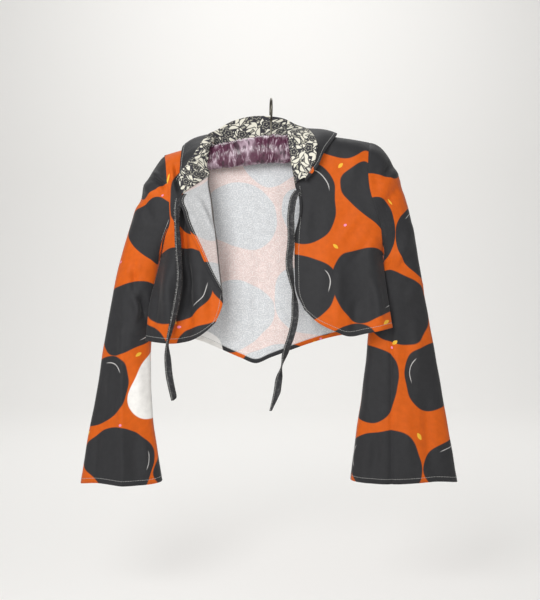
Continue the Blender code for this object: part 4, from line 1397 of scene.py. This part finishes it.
def floral_cotton():
    """Plain-woven cotton with a dense pattern of pale curved leaves and dark flowers on a dark ground."""
    material, tree = new_material("floral_cotton")
    place = add(tree, "UVMap", {}, uv_map="cloth").outputs[0]
    cells = cell_group()
    shown = FLOWER_INK
    for cell, half_length, half_width, curve, shift, colour in FLORAL_LEAVES:
        moved = add(tree, "VectorMath", {0: place, 1: (shift, FLORAL_SHIFT_UP * shift, 0.0)},
                    operation="ADD")
        motif = add(tree, "Group", {"Place": moved, "Cell": cell}, node_tree=cells)
        away = add(tree, "SeparateXYZ", {0: motif.outputs["Away"]}).outputs
        square = add(tree, "Math", {0: away["X"], 1: away["X"]}, operation="MULTIPLY")
        bowed = add(tree, "Math", {0: square, 1: curve, 2: away["Y"]}, operation="MULTIPLY_ADD")
        off = add(tree, "Math", {0: bowed}, operation="ABSOLUTE")
        across = add(tree, "Math", {0: off, 1: 1 / half_width}, operation="MULTIPLY")
        lens = add(tree, "Math", {0: square, 1: half_length ** -2, 2: across}, operation="MULTIPLY_ADD")
        for edge, shade in ((FLORAL_OUTLINE, FLOWER_INK), (FLORAL_FILL, colour)):
            shown = layered(tree, shown, ((between(tree, lens, -1.0, edge), shade),))
    cell, reach, depth, share = FLORAL_FLOWERS
    motif = add(tree, "Group", {"Place": place, "Cell": cell}, node_tree=cells).outputs
    away = add(tree, "SeparateXYZ", {0: motif["Away"]}).outputs
    angle = add(tree, "Math", {0: away["Y"], 1: away["X"]}, operation="ARCTAN2")
    wave = add(tree, "Math", {0: angle, 1: PETALS}, operation="MULTIPLY")
    swell = add(tree, "Math", {0: wave}, operation="COSINE")
    edge = add(tree, "Math", {0: swell, 1: depth, 2: reach}, operation="MULTIPLY_ADD")
    far = add(tree, "VectorMath", {0: motif["Away"]}, operation="LENGTH").outputs["Value"]
    out = add(tree, "Math", {0: far, 1: edge}, operation="DIVIDE")
    blooms = add(tree, "Math", {0: motif["Chance"], 1: share}, operation="LESS_THAN")
    for low, high, colour in FLORAL_BANDS:
        band = add(tree, "Math", {0: between(tree, out, low, high), 1: blooms}, operation="MULTIPLY")
        shown = layered(tree, shown, ((band, colour),))
    return finished(material, {
        "Base Color": shown, "Normal": weave(tree, place, 0.3), "Roughness": 0.86, "Specular IOR Level": 0.3})


def black_twill():
    """Woven black tape: matt, rubbed grey in patches, with light flecks where its raw edges fray."""
    material, tree = new_material("black_twill")
    place = add(tree, "UVMap", {}, uv_map="cloth").outputs[0]
    across = add(tree, "SeparateXYZ", {0: place}).outputs["Y"]
    middle = add(tree, "Math", {0: across, 1: TIE_WIDTH / 2}, operation="SUBTRACT")
    from_middle = add(tree, "Math", {0: middle}, operation="ABSOLUTE")
    near_edge = add(tree, "MapRange",
                    {"Value": from_middle, "From Min": TIE_WIDTH * FRAY_START, "From Max": TIE_WIDTH * 0.5})
    noise = add(tree, "TexNoise", {"Vector": place, "Scale": FLECKS, "Detail": 2.0})
    fleck = add(tree, "MapRange", {"Value": noise, "From Min": 0.50, "From Max": 0.60})
    frayed = add(tree, "Math", {0: near_edge, 1: fleck}, operation="MULTIPLY")
    mottle = add(tree, "TexNoise", {"Vector": place, "Scale": RUBS, "Detail": 3.0, "Roughness": 0.7})
    rubbed = add(tree, "MapRange", {"Value": mottle, "From Min": 0.50, "From Max": 0.70, "To Max": 0.6})
    shown = layered(tree, TIE_BLACK, ((rubbed, RUBBED_GREY), (frayed, FRAYED_GREY)))
    return finished(material, {
        "Base Color": shown, "Normal": weave(tree, place, 0.5), "Roughness": 0.8, "Specular IOR Level": 0.35})


def purple_satin():
    """Polyester satin: a deep colour, with painted sheens and painted shade along its gathers and broad
    painted light patches.
    """
    material, tree = new_material("purple_satin")
    held = add(tree, "TexCoord", {}).outputs["Object"]
    place = add(tree, "VectorMath", {0: held, 1: tuple(RAISED)}, operation="SUBTRACT")
    stretch = (1.0, SHEEN_STRETCH, SHEEN_STRETCH)
    stretched = add(tree, "VectorMath", {0: place, 1: stretch}, operation="MULTIPLY")
    gathers = add(tree, "TexNoise", {"Vector": stretched, "Scale": SHEENS, "Detail": 4.0, "Roughness": 0.62,
                                     "Distortion": 0.8})
    # Painted sheens and painted shade along the gathers, and broad painted light patches
    painted_sheen = add(tree, "MapRange", {"Value": gathers, "From Min": 0.55, "From Max": 0.68, "To Max": 0.85})
    deep = add(tree, "MapRange", {"Value": gathers, "From Min": 0.46, "From Max": 0.36, "To Max": 0.8})
    broad = add(tree, "TexNoise", {"Vector": place, "Scale": SATIN_PATCHES, "Detail": 1.0})
    patch = add(tree, "MapRange", {"Value": broad, "From Min": 0.52, "From Max": 0.66, "To Max": 0.55})
    shown = layered(tree, SATIN_PURPLE, ((patch, SATIN_PAINTED_SHEEN), (deep, SATIN_PAINTED_SHADE), (painted_sheen, SATIN_PAINTED_SHEEN)))
    crumple = add(tree, "Bump", {"Strength": 0.7, "Distance": SHEEN_DEPTH, "Height": gathers})
    return finished(material, {
        "Base Color": shown, "Normal": crumple, "Roughness": 0.27, "Specular IOR Level": 0.7,
        "Sheen Weight": 0.22, "Sheen Roughness": 0.3, "Sheen Tint": SATIN_SHEEN})


def hook_steel():
    """Drawn steel wire, gone dull: a grey metal with a soft shine."""
    return finished(new_material("hook_steel")[0], {"Base Color": WIRE, "Metallic": 1.0, "Roughness": 0.36})


def sewing_thread():
    """Polyester sewing thread: a plain grey with a slight gloss."""
    return finished(new_material("sewing_thread")[0], {"Base Color": THREAD_GREY, "Roughness": 0.6})


def studio_paper():
    """White studio paper: matt, with no pattern."""
    return finished(new_material("studio_paper")[0], {"Base Color": STUDIO_WHITE, "Roughness": 0.95})


def new_object(name, points, faces, materials):
    """A smooth mesh object at the origin, from points and faces, raised to the part's own frame."""
    mesh = bpy.data.meshes.new(name)
    mesh.from_pydata((points.reshape(-1, 3) + RAISED).tolist(), [], faces)
    mesh.shade_smooth()
    piece = bpy.data.objects.new(name, mesh)
    bpy.context.collection.objects.link(piece)
    for material in materials:
        mesh.materials.append(material)
    return piece


def corners_of(grid, closed=False, flip=False):
    """Row and column of each face's four corners in a grid."""
    rows, columns = grid.shape[:2]
    i = np.arange(rows - 1)[:, None]
    j = np.arange(columns if closed else columns - 1)[None, :]
    corners = [(i, j), (i, j + 1), (i + 1, j + 1), (i + 1, j)]
    return corners[::-1] if flip else corners


def faces_of(grid, corners):
    """Faces of a grid, as the numbers of their points."""
    columns = grid.shape[1]
    return np.stack([i * columns + j % columns for i, j in corners], axis=-1).reshape(-1, 4).tolist()


def surface(name, grid, materials, closed=False, flip=False, place=None, wall=None, capped=False, **marks):
    """A piece whose surface is a grid of points.

    It may have a place on the cut cloth, a wall, closed ends, and marks, which are numbers at each point.
    """
    corners = corners_of(grid, closed, flip)
    faces = faces_of(grid, corners)
    if capped:
        first = np.arange(grid.shape[1])
        faces.append(first.tolist())
        faces.append((first[::-1] + (len(grid) - 1) * grid.shape[1]).tolist())
    piece = new_object(name, grid, faces, materials)
    if place is not None:
        layer = piece.data.uv_layers.new(name="cloth")
        layer.data.foreach_set("uv", np.stack([place[i, j] for i, j in corners], axis=-2).ravel())
    for mark, numbers in marks.items():
        values = piece.data.attributes.new(mark, "FLOAT", "POINT")
        values.data.foreach_set("value", numbers.ravel())
    if wall is not None:
        shell = piece.modifiers.new("wall", "SOLIDIFY")
        shell.thickness = wall
        shell.offset = 0
        shell.material_offset = len(materials) - 1
        shell.use_quality_normals = True
    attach(piece, "root")
    return piece


def inset_line(grid, out, inset):
    """The line beside the last row at an inset up each column, and the direction out of the cloth there."""
    run = up_the_column(grid)
    low = np.argmax(run <= inset, axis=0)
    column = np.arange(grid.shape[1])
    share = (inset - run[low, column]) / (run[low - 1, column] - run[low, column])
    point = grid[low, column] + share[:, None] * (grid[low - 1, column] - grid[low, column])
    return point, out[low, column]


def edge_line(grid, out, inset, start=0):
    """The line beside the last column at an inset, from a start row, and the direction out there."""
    line, away = inset_line(grid.swapaxes(0, 1), out.swapaxes(0, 1), inset)
    return line[start:], away[start:]


def stitches(name, lines):
    """A piece of rows of stitches, each along a line with its direction out of the cloth."""
    points = []
    faces = []
    count = 0
    for line, out in lines:
        row_points, row_faces = stitch_row(line + out * (CLOTH_WALL / 2), out)
        points.append(row_points)
        faces.append(row_faces + count)
        count += len(row_points)
    piece = new_object(name, np.concatenate(points), np.concatenate(faces).tolist(), [thread])
    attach(piece, "root")
    return piece


def cut_from(node):
    """Hide the solid node that a sheet of cloth stands for."""
    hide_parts(node)


def hung_tie(name, node, table, point):
    """Make and stitch a flat tie that hangs from a front corner, and hide its solid."""
    path, grid = tie(table, point)
    piece = surface(name, grid, [black_tape], place=strip_cut(grid), wall=TIE_WALL)
    out = facing(grid, False, False) * (TIE_WALL / CLOTH_WALL)
    line = grid[:, 0] + (grid[:, -1] - grid[:, 0]) * TIE_STITCH_PLACE
    sewing = stitches(name + "_stitches", [(line, out[:, 1]), (line, -out[:, 1])])
    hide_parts(node)
    path = path + RAISED


def panel_rise(flat, place, from_side, table):
    """Creases and drift of a panel, held down to nothing at its side and shoulder seams."""
    from_top = flat[:1, :, 2] - flat[..., 2]
    held = np.clip(from_side / SIDE_HELD, 0, 1) * np.clip(from_top / SHOULDER_HELD, 0, 1)
    return (creases(flat[..., 0], flat[..., 2], table) + drift(*place.transpose(2, 0, 1))) * held


def hung_front(name, node, flat, bend, flip, corner_row, table, cut, lapel):
    """Make and sew a front, creased, drifting, puckered at its hem and front edge, and hide its solid.

    A lapel has stitches on both faces, and a painted shade, deepest as a painted shadow where it rolls over.
    """
    grid, bent = bend(flat)
    place = cut_place(flat)
    edge = in_from_edge(flat)
    # Above the corner the edge is sewn to the collar, so no hem is near
    edge[:corner_row] = NO_HEM
    hem = np.minimum(up_the_column(flat), edge)
    from_side = np.abs(flat[..., 0] - flat[:, :1, 0])
    rise = panel_rise(flat, place, from_side, table) + sewn(place.sum(axis=-1), hem)
    grid = grid + facing(grid, False, flip) * rise[..., None]
    out = facing(grid, False, flip)
    marks = {"hem": hem}
    edge_stitches, edge_out = edge_line(grid, out, STITCH_INSET, corner_row)
    lines = [inset_line(grid, out, STITCH_INSET), (edge_stitches, edge_out)]
    if lapel:
        # Painted shade over the turned lapel, darkest in a band of painted shadow where it rolls over
        turn = np.degrees(bent)
        band = np.minimum(turn - PAINTED_SHADE_START, PAINTED_SHADOW_END - turn) / PAINTED_SHADOW_FADE
        marks["shade"] = np.clip(band, LAPEL_PAINTED_SHADE * (turn > PAINTED_SHADE_START), 1)
        second, second_out = edge_line(grid, out, SECOND_STITCH_INSET, corner_row)
        lines += [(edge_stitches, -edge_out), (second, -second_out)]
    piece = surface(name, grid, both_sides, flip=flip, place=place + cut, wall=CLOTH_WALL, **marks)
    sewing = stitches(name + "_stitches", lines)
    cut_from(node)


def hung_back():
    flat = back_panel()
    place = cut_place(flat)
    hem = up_the_column(flat)
    from_side = np.minimum(flat[..., 0] - flat[:, :1, 0], flat[:, -1:, 0] - flat[..., 0])
    rise = panel_rise(flat, place, from_side, CREASES_BACK) + sewn(place[..., 0], hem)
    grid = flat + facing(flat, False, False) * rise[..., None]
    piece = surface("back_cloth", grid, both_sides, place=place + CUT_BACK, wall=CLOTH_WALL, hem=hem)
    line, out = inset_line(grid, facing(grid, False, False), STITCH_INSET)
    sewing = stitches("back_stitches", [(line, out), (line, -out)])
    cut_from("back")


def hung_sleeve(name, node, side, underarm, sections, outer, inner, flip, tables, press, cut):
    """Make and sew a sleeve, creased on both sides, pressed, and puckered at its waving cuff, and hide its
    solid.
    """
    flat, foot = sleeve(side, underarm, sections, outer, inner)
    place = sleeve_cut(flat, foot)
    x, y, z = flat.transpose(2, 0, 1)
    middle = (y.max(axis=1) + y.min(axis=1))[:, None] / 2
    half = (y.max(axis=1) - y.min(axis=1))[:, None] / 2
    ahead = np.clip(0.5 - (y - middle) / half, 0, 1)
    in_front, behind = tables
    hem = up_the_column(flat)
    from_armhole = run_of(flat)
    rise = creases(x, z, in_front) * ahead + creases(x, z, behind) * (1 - ahead) + drift(x + y, z)
    rise = rise * np.clip(from_armhole / ARMHOLE_HELD, 0, 1) + pressed(x, z, press) * ahead
    rise = rise + sewn(place[:, :-1, 0], hem) - SEAM_SINK * np.exp(-(from_armhole / SEAM_SINK_REACH) ** 2)
    grid = flat + facing(flat, True, flip) * rise[..., None]
    around = np.arange(flat.shape[1]) * 2 * math.pi / flat.shape[1]
    wave = np.sin(CUFF_WAVES * around + CUFF_WAVE_START)
    grid[..., 2] += CUFF_WAVE * wave * np.clip(1 - hem / CUFF_WAVE_REACH, 0, 1) ** 2
    tucked = grid[0].copy()
    inward = unit(tucked.mean(axis=0)[1:] - tucked[:, 1:])
    tucked[:, 0] -= np.sign(side[0, 1]) * TUCK_REACH
    tucked[:, 1:] += TUCK_DEPTH * inward
    grid = np.concatenate([tucked[None], grid])
    place = np.concatenate([place[:1] + (0, TUCK_REACH), place])
    hem = np.concatenate([hem[:1] + TUCK_REACH, hem])
    piece = surface(name, grid, both_sides, closed=True, flip=flip, place=place + cut, wall=CLOTH_WALL,
                    hem=hem)
    line, out = inset_line(grid, facing(grid, True, flip), STITCH_INSET)
    ring = (np.concatenate([line, line[:1]]), np.concatenate([out, out[:1]]))
    sewing = stitches(name + "_stitches", [ring])
    cut_from(node)


def folded_collar():
    flat = collar_stand()
    rise = creases(flat[..., 0], flat[..., 2], CREASES_STAND) * (flat[..., 1] < 0)
    grid = flat + facing(flat, False, True) * rise[..., None]
    place = strip_cut(flat)
    stand = surface("collar_stand_cloth", grid, [floral], flip=True, place=place, wall=CLOTH_WALL)
    cut_from("collar_stand")
    grid = collar_leaf()
    place = strip_cut(grid)
    leaf = surface("collar_leaf_cloth", grid, [cotton, floral], flip=True, place=place + CUT_LEAF,
                   wall=CLOTH_WALL, hem=in_from_edge(grid))
    line = edge_line(grid, facing(grid, False, True), LEAF_STITCH_INSET)
    sewing = stitches("collar_leaf_stitches", [line])
    cut_from("collar_leaf")


def hanger():
    pad = surface("padded_hanger", gathered_satin(), [purple_satin()], closed=True, capped=True)
    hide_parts("hanger_pad")
    hook = surface("hook_wire", hook_wire(), [hook_steel()], closed=True, capped=True)
    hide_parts("hanger_hook")


def studio_sweep():
    """A floor of studio paper that bends up into a wall by a quarter round."""
    turn = np.linspace(0, math.pi / 2, SWEEP_STEPS)
    x = np.linspace(-SWEEP_HALF_WIDTH, SWEEP_HALF_WIDTH, SWEEP_ACROSS)
    y = np.concatenate([[SWEEP_NEAR], SWEEP_FAR + SWEEP_RADIUS * np.sin(turn), [SWEEP_FAR + SWEEP_RADIUS]])
    z = np.concatenate([[0], SWEEP_RADIUS * (1 - np.cos(turn)), [SWEEP_HEIGHT]]) + FLOOR_HEIGHT
    grid = np.stack(np.broadcast_arrays(x[None, :], y[:, None], z[:, None]), axis=-1)
    sweep = new_object("studio_sweep", grid, faces_of(grid, corners_of(grid)), [studio_paper()])


def lamp(name, place, aim, size, power):
    """A square lamp at a place, turned to its aim."""
    light = bpy.data.objects.new(name, bpy.data.lights.new(name, "AREA"))
    bpy.context.collection.objects.link(light)
    light.data.size = size
    light.data.energy = power
    light.location = np.array(place) + RAISED
    away = unit(np.array(place) - np.array(aim))
    light.rotation_euler = (math.acos(away[2]), 0, math.atan2(away[0], -away[1]))


def stage_camera():
    """A camera at the photograph's place, which looks level along +Y."""
    camera = bpy.data.objects.new("camera", bpy.data.cameras.new("camera"))
    bpy.context.collection.objects.link(camera)
    camera.location = np.array((CAMERA_X, -CAMERA_DISTANCE, CAMERA_HEIGHT)) + RAISED
    camera.rotation_euler = (math.pi / 2, 0, 0)
    camera.data.sensor_width = SENSOR
    camera.data.lens = SENSOR * CAMERA_DISTANCE / PIXEL_SIZE / PICTURE_HEIGHT
    bpy.context.scene.camera = camera
    bpy.context.scene.view_settings.view_transform = "Standard"


# Materials that several pieces share
plum_print = print_group()
cotton = printed_cotton("printed_cotton", plum_print, False)
both_sides = [cotton, printed_cotton("printed_cotton_wrong_side", plum_print, True)]
floral = floral_cotton()
black_tape = black_twill()
thread = sewing_thread()

# Pieces
hung_tie("tie_left_tape", "tie_left", TIE_LEFT, TIE_POINT_LEFT)
hung_tie("tie_right_tape", "tie_right", TIE_RIGHT, TIE_POINT_RIGHT)
hung_front("front_left_cloth", "front_left", left_front(), edge_curled, flip=False,
           corner_row=CORNER_ROW_LEFT * FINE, table=CREASES_LEFT, cut=CUT_FRONT_LEFT, lapel=False)
hung_front("front_right_cloth", "front_right", right_front(), lapel_turned, flip=True,
           corner_row=CORNER_ROW_RIGHT * FINE, table=CREASES_RIGHT, cut=CUT_FRONT_RIGHT, lapel=True)
hung_back()
hung_sleeve("sleeve_left_cloth", "sleeve_left", SIDE_LEFT, UNDERARM_LEFT, SLEEVE_LEFT, HEAD_OUTER_LEFT,
            HEAD_INNER_LEFT, flip=False, tables=(CREASES_SLEEVE_LEFT, CREASES_SLEEVE_LEFT_BEHIND),
            press=PRESS_LEFT, cut=CUT_SLEEVE_LEFT)
hung_sleeve("sleeve_right_cloth", "sleeve_right", SIDE_RIGHT, UNDERARM_RIGHT, SLEEVE_RIGHT, HEAD_OUTER_RIGHT,
            HEAD_INNER_RIGHT, flip=True, tables=(CREASES_SLEEVE_RIGHT, CREASES_SLEEVE_RIGHT_BEHIND),
            press=PRESS_RIGHT, cut=CUT_SLEEVE_RIGHT)
folded_collar()
hanger()

# Stage: a pale sweep, soft light from the upper left, and the camera
stage_camera()
studio_sweep()
for light_row in LIGHTS:
    lamp(*light_row)
world = bpy.data.worlds.new("studio")
world.use_nodes = True
bpy.context.scene.world = world
background = world.node_tree.nodes["Background"]
feed(world.node_tree, background, {"Color": STUDIO_WHITE, "Strength": WORLD_STRENGTH})
